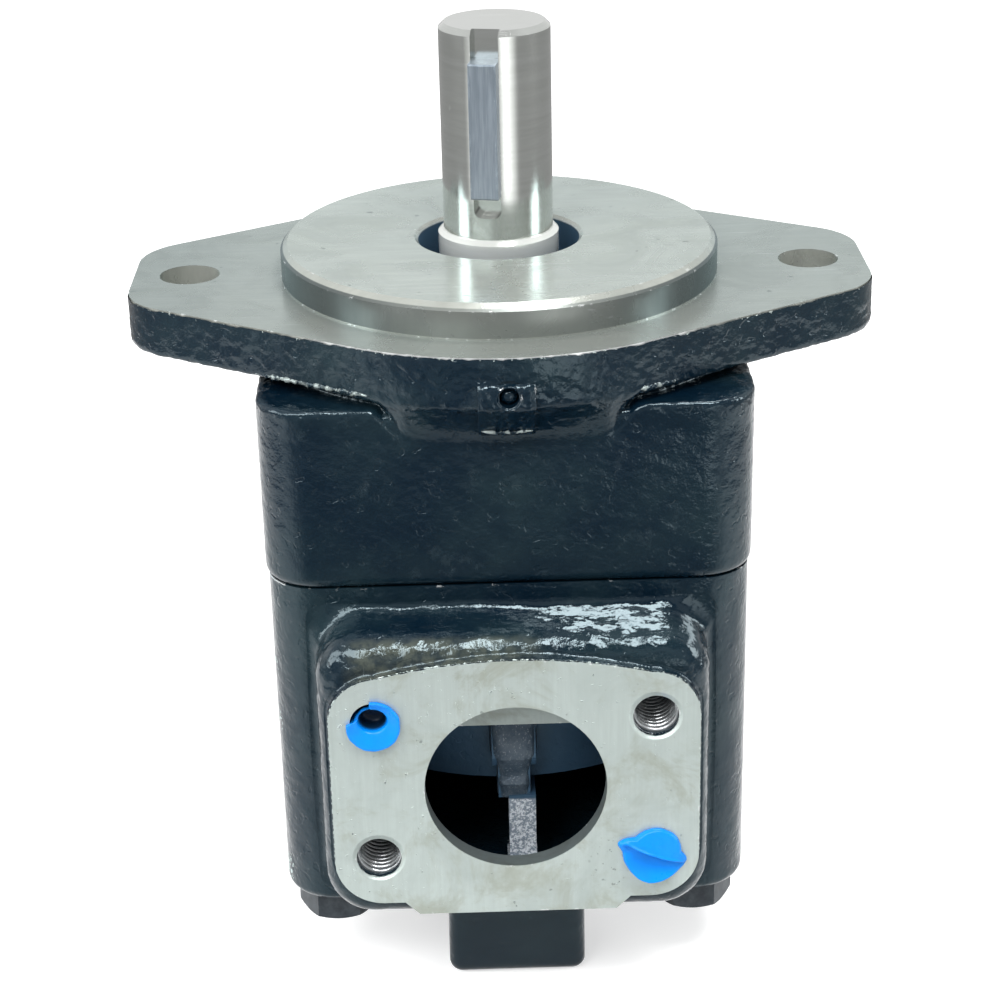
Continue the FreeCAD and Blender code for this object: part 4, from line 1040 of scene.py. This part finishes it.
def makeGalleryBoss(material):
    # rows follow the front downwards; across, the face bends back at both sides; the hole's rim is pushed open
    look = galleryBoss
    table = np.array(look["front"])
    known = np.concatenate([[0], np.cumsum(np.linalg.norm(np.diff(table, axis=0), axis=1))])
    run = np.linspace(0, known[-1], 92)
    both = np.stack([np.interp(run, known, column) for column in table.T], axis=-1)
    both = softenRows(both[:, None, :], 3)
    y, z = both[..., 0], both[..., 1]
    turn = np.linspace(-1, 1, 96)[None, :]
    side = np.abs(turn)
    bend, (roundFrom, rounding) = look["bend"], look["round"]
    x = look["half"] * np.sign(turn) * np.minimum(side / bend, 1)
    back = np.where(side > bend, (side - bend) / (1 - bend) * look["side"], 0)
    back = back + rounding * easeStep(side, roundFrom, bend)
    grid = np.stack([x + y * 0, y + back, z + x * 0], axis=-1)
    normal = gridNormals(grid, [0, -1, 0], closed=False)
    grid = grid + normal * (castLumps(grid, 41, 5, 1.3, 50) * look["lumps"])[..., None]
    holeX, holeZ, hole = look["hole"]
    dx, dz = grid[..., 0] - holeX, grid[..., 2] - holeZ
    scale, pushed = pushedOpen(dx, dz, hole, look["reach"])
    grid[..., 0], grid[..., 2] = holeX + dx * scale, holeZ + dz * scale
    deep, wide = look["dip"]
    grid[..., 1] += deep * (1 - easeStep(pushed, hole, hole + wide))
    piece = sheetPiece("gallery_boss_cast", grid, material, closed=False)
    dropFaces(piece, lambda m: np.hypot(m[:, 0] - holeX, m[:, 2] - holeZ) < hole - 0.1)


# screw threads in the tapped holes

padY = -92.198  # the suction pad's face, mm
threads = {
    # holes (x, z), face y, way into the metal, radius of root and crest, pitch, depth; mm
    "suction_threads": ([(38.9, -100.15), (-38.9, -143.05)], padY, 1, 6.37, 5.42, 1.954, 23.5),
    "pressure_threads": ([(29.35, -57.1), (-29.35, -57.1), (29.35, -26.9), (-29.35, -26.9)],
                         75.998, -1, 5.62, 4.85, 1.814, 15.5),
}
pointsPerTurn, sunk = 56, 0.02  # and how far the ridge's foot goes into the wall, mm
ridgeFoot, ridgeTop = 0.47, 0.07  # half widths as shares of the pitch


def makeThreads(material):
    # a ridge of four points, two in the wall and two at the crest, carried along a helix; it fades at both ends
    for name, (holes, faceY, way, root, crest, pitch, deep) in threads.items():
        for number, (holeX, holeZ) in enumerate(holes, 1):
            turns = (deep - 1.1 * pitch) / pitch
            t = np.linspace(0, turns, int(turns * pointsPerTurn))
            fade = easeStep(t, 0, 1.3) * (1 - easeStep(t, turns - 0.8, turns))
            high = root - sunk - (root - crest) * fade
            across = np.array([-ridgeFoot, -ridgeTop, ridgeTop, ridgeFoot]) * pitch
            width = 0.25 + 0.75 * fade
            wall = np.full_like(t, root + sunk)
            radius = np.stack([wall, high, high, wall], axis=1)
            y = faceY + way * (0.62 * pitch + (t * pitch)[:, None] + across[None, :] * width[:, None])
            turn = (2 * np.pi * t + 1.1 * number)[:, None] * way
            grid = np.stack([holeX + radius * np.cos(turn), y, holeZ - radius * np.sin(turn)], axis=-1)
            sheetPiece(f"{name}_{number}", grid if way < 0 else grid[:, ::-1], material, ends=True)


# torn ring plug and folded flap plug

ringPlug = {
    "middle": (-38.9, -100.15), "faceY": padY, "outer": 7.45, "hole": (4.15, 3.55), "holeUp": 1.15,
    "tornFrom": 98, "tornTo": 176, "tornReach": 5.35, "stem": 6.05, "depth": 8.6,  # degrees and mm
    # rows up the hole's wall: share of its width, height; rows over the face: share of the way out, height
    "wall": ((0.06, -5.2), (0.5, -5.1), (0.80, -4.7), (0.84, -3.0), (0.86, -1.5), (0.93, -1.2), (0.97, -0.4)),
    "face": ((0.0, 0.25), (0.10, 0.62), (0.25, 0.72), (0.45, 0.95), (0.65, 1.25), (0.82, 1.5), (0.93, 1.52),
             (0.985, 1.3), (1.0, 0.95), (1.0, 0.25)),
}
flapPlug = {
    "middle": (38.9, -143.05), "faceY": padY, "outer": 9.3, "foldTurn": -21, "stem": 6.1, "depth": 8.8,
    "flap": (3.6, 0.30, 0.012), "dish": (0.55, 0.055, 0.02),  # height at the middle, then what the slopes change
    "ridge": (0.35, 0.55, 0.35), "crease": (0.55, -0.75, 0.55, 5.5),  # height, place across, width, half length
    "tab": (166, 9.0, 1.5),  # degrees round the disc, width in degrees, how far it stands out
}


def onFace(look, x, height, z):
    # points at x, z from a plug's middle and height mm out of the face
    x0, z0 = look["middle"]
    return np.stack([x0 + x, look["faceY"] - height + x * 0, z0 + z], axis=-1)


def makeRingPlug(material):
    # rows from the floor's middle up the inner wall, over a leaning face to the torn rim, and down the stem
    look = ringPlug
    angle = np.linspace(-np.pi, np.pi, 160, endpoint=False)
    degrees = np.degrees(angle)
    first, last = look["tornFrom"], look["tornTo"]
    torn = easeStep(degrees, first - 4, first + 3) * (1 - easeStep(degrees, last - 3, last + 2))
    ragged = castLumps(radial(angle) * 7, 5, 9, 1.2, 24)
    outer = look["outer"] + 0.16 * ragged + (look["tornReach"] - look["outer"]) * torn + 0.25 * np.cos(angle + 0.9)
    holeX, holeZ = look["hole"]
    inX = holeX * np.cos(angle) - 0.1
    inZ = holeZ * np.sin(angle) + look["holeUp"]
    rows = []

    def ring(share, height, reach=None, wave=0.0):
        # share 0 = the hole's edge, 1 = the outer edge; height is mm out of the face
        far = outer if reach is None else np.minimum(outer, reach)
        x = inX * (1 - share) + far * np.cos(angle) * share
        z = inZ * (1 - share) + far * np.sin(angle) * share
        rows.append(onFace(look, x, height + wave * ragged, z))

    for scale, height in look["wall"]:
        x, z = inX * scale, (inZ - look["holeUp"]) * scale + look["holeUp"] * (0.4 + 0.6 * scale)
        rows.append(onFace(look, x, height, z))
    lower = 0.35 * (1 - np.sin(angle))  # the lower part of the face leans out more
    for share, height in look["face"]:
        ring(share, height * (1 - 0.75 * torn) + lower * share * 0.7 - 0.5 * torn, wave=0.05)
    ring(1.0, 0.04, look["stem"] + 0.5)
    for height in (-0.3, -4.0, -look["depth"]):
        ring(1.0, height, look["stem"])
    near = look["stem"] * 0.05
    rows.append(onFace(look, near * np.cos(angle), -look["depth"], near * np.sin(angle)))
    plug = sheetPiece("ring_plug_moulded", np.array(rows), material, "ring_plug", poles=True)
    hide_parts("ring_plug")


def makeFlapPlug(material):
    # a disc whose height over the face is a function of the place along and across the fold: over it a flap
    # that slopes back into the hole, under it a dished lip; then down round the stem
    look = flapPlug
    angle = np.linspace(-np.pi, np.pi, 220, endpoint=False)
    fold = math.radians(look["foldTurn"])
    ragged = castLumps(radial(angle) * 9, 8, 9, 2.0, 20)
    upper = easeStep(np.sin(angle - fold), 0.02, 0.35)
    at, wide, out = look["tab"]
    tab = bell(np.degrees(angle), at, wide)
    reach = look["outer"] + 0.10 * ragged - 2.1 * upper + out * tab
    share = np.concatenate([np.linspace(0.04, 0.9, 44), [0.93, 0.955, 0.975, 0.99, 1.0]])[:, None]
    x, z = share * reach * np.cos(angle), share * reach * np.sin(angle)
    along = x * math.cos(fold) + z * math.sin(fold)
    across = -x * math.sin(fold) + z * math.cos(fold) + 0.6
    (top, slope, sag), (floor, bowl, tip) = look["flap"], look["dish"]
    flap = top - slope * across - sag * along ** 2
    dish = floor + bowl * across ** 2 + tip * along
    over = easeStep(across, -0.35, 0.25)
    high, at, wide = look["ridge"]
    ridge = high * bell(across, at, wide)
    deep, at, wide, half = look["crease"]
    crease = -deep * bell(across, at, wide) * bell(along, 0, half)
    narrow = np.clip(1 - (np.abs(along) / 9.6) ** 4, 0.25, 1)
    height = dish + (flap - dish) * over * narrow + ridge * narrow + crease
    height = height + 1.0 * tab * easeStep(share, 0.72, 0.9) * (1 - easeStep(share, 0.96, 1.02))
    edge = easeStep(share, 0.90, 1.0)
    height = np.maximum(height * (1 - 0.55 * edge ** 2), 0.42)
    height = height + 0.03 * castLumps(np.stack([x, z, x * 0], -1), 9, 3, 1, 20)
    grid = [*onFace(look, x, height, z)]
    stem, depth = look["stem"], look["depth"]
    # down the rim and the stem: how far out at most, and height
    for most, high in ((99, 0.25), (99, 0.06), (stem + 0.4, 0.05), (stem, -0.3), (stem, -4), (stem, -depth),
                       (0.4, -depth)):
        far = np.minimum(most, reach)
        grid.append(onFace(look, far * np.cos(angle), high, far * np.sin(angle)))
    plug = sheetPiece("flap_plug_moulded", np.array(grid), material, "flap_plug", poles=True)
    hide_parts("flap_plug")


# stepped rib behind the suction port, as cast

portRib = {
    # z, front y, half width; mm
    "rows": ((-109.0, -62.5, 6.6), (-110.4, -64.5, 6.7), (-112.5, -67.2, 6.75), (-117.0, -69.1, 6.8),
             (-121.5, -70.6, 6.85), (-123.6, -71.25, 6.9), (-124.7, -71.3, 6.8), (-125.8, -70.7, 6.0),
             (-128.0, -69.9, 5.2), (-131.0, -69.2, 4.95), (-132.6, -69.9, 4.95), (-133.6, -70.3, 5.0),
             (-134.6, -69.8, 5.0), (-136.5, -69.2, 5.0), (-138.6, -69.0, 5.0), (-139.1, -68.0, 4.9)),
    "back": -60.0, "square": 0.42, "lumps": 0.13,
}


def makePortRib(material):
    # each row is a half superellipse from the barrel round the front; rows follow the cast steps downwards
    look = portRib
    table = np.array(look["rows"])
    share, known = np.linspace(0, 1, 90), np.linspace(0, 1, len(table))
    kernel = np.array([1, 2, 3, 2, 1]) / 9.0

    def soft(column):
        values = np.interp(share, known, column)
        return np.convolve(np.pad(values, 2, mode="edge"), kernel, mode="valid")[:, None]

    z, front, half = (soft(column) for column in table.T)
    turn = np.linspace(np.pi, 0, 72)[None, :]
    c, s = np.cos(turn), np.sin(turn)
    x = half * np.sign(c) * np.abs(c) ** look["square"]
    y = look["back"] + (front - look["back"]) * np.abs(s) ** look["square"]
    grid = np.stack([x, y, z + x * 0], axis=-1)
    normal = gridNormals(grid, grid - np.array([0, -60, -124]), closed=False)
    lift = castLumps(grid, 21, 4.0, 0.9, 50) * look["lumps"] * easeStep(s, 0.1, 0.5)
    sheetPiece("port_rib_cast", (grid + normal * lift[..., None])[::-1], material, closed=False)


makeCamera()
makeLamps()
makeWorld()
makeFloor()
materials = makeMaterials()
dressCad(materials)
print("camera, lamps, room and finishes ready")
makeHousingCast(materials["housingCast"])
makeCastFlash(materials["flash"])
makeGalleryBoss(materials["boss"])
print("housing casting made")
makePortNeck(materials["neck"])
makePortRib(materials["bareCasting"])
makeThreads(materials["thread"])
makeRingPlug(materials["blue"])
makeFlapPlug(materials["blue"])
print("port neck, rib, threads and plugs made")

bpy.context.scene.view_settings.view_transform = "Standard"
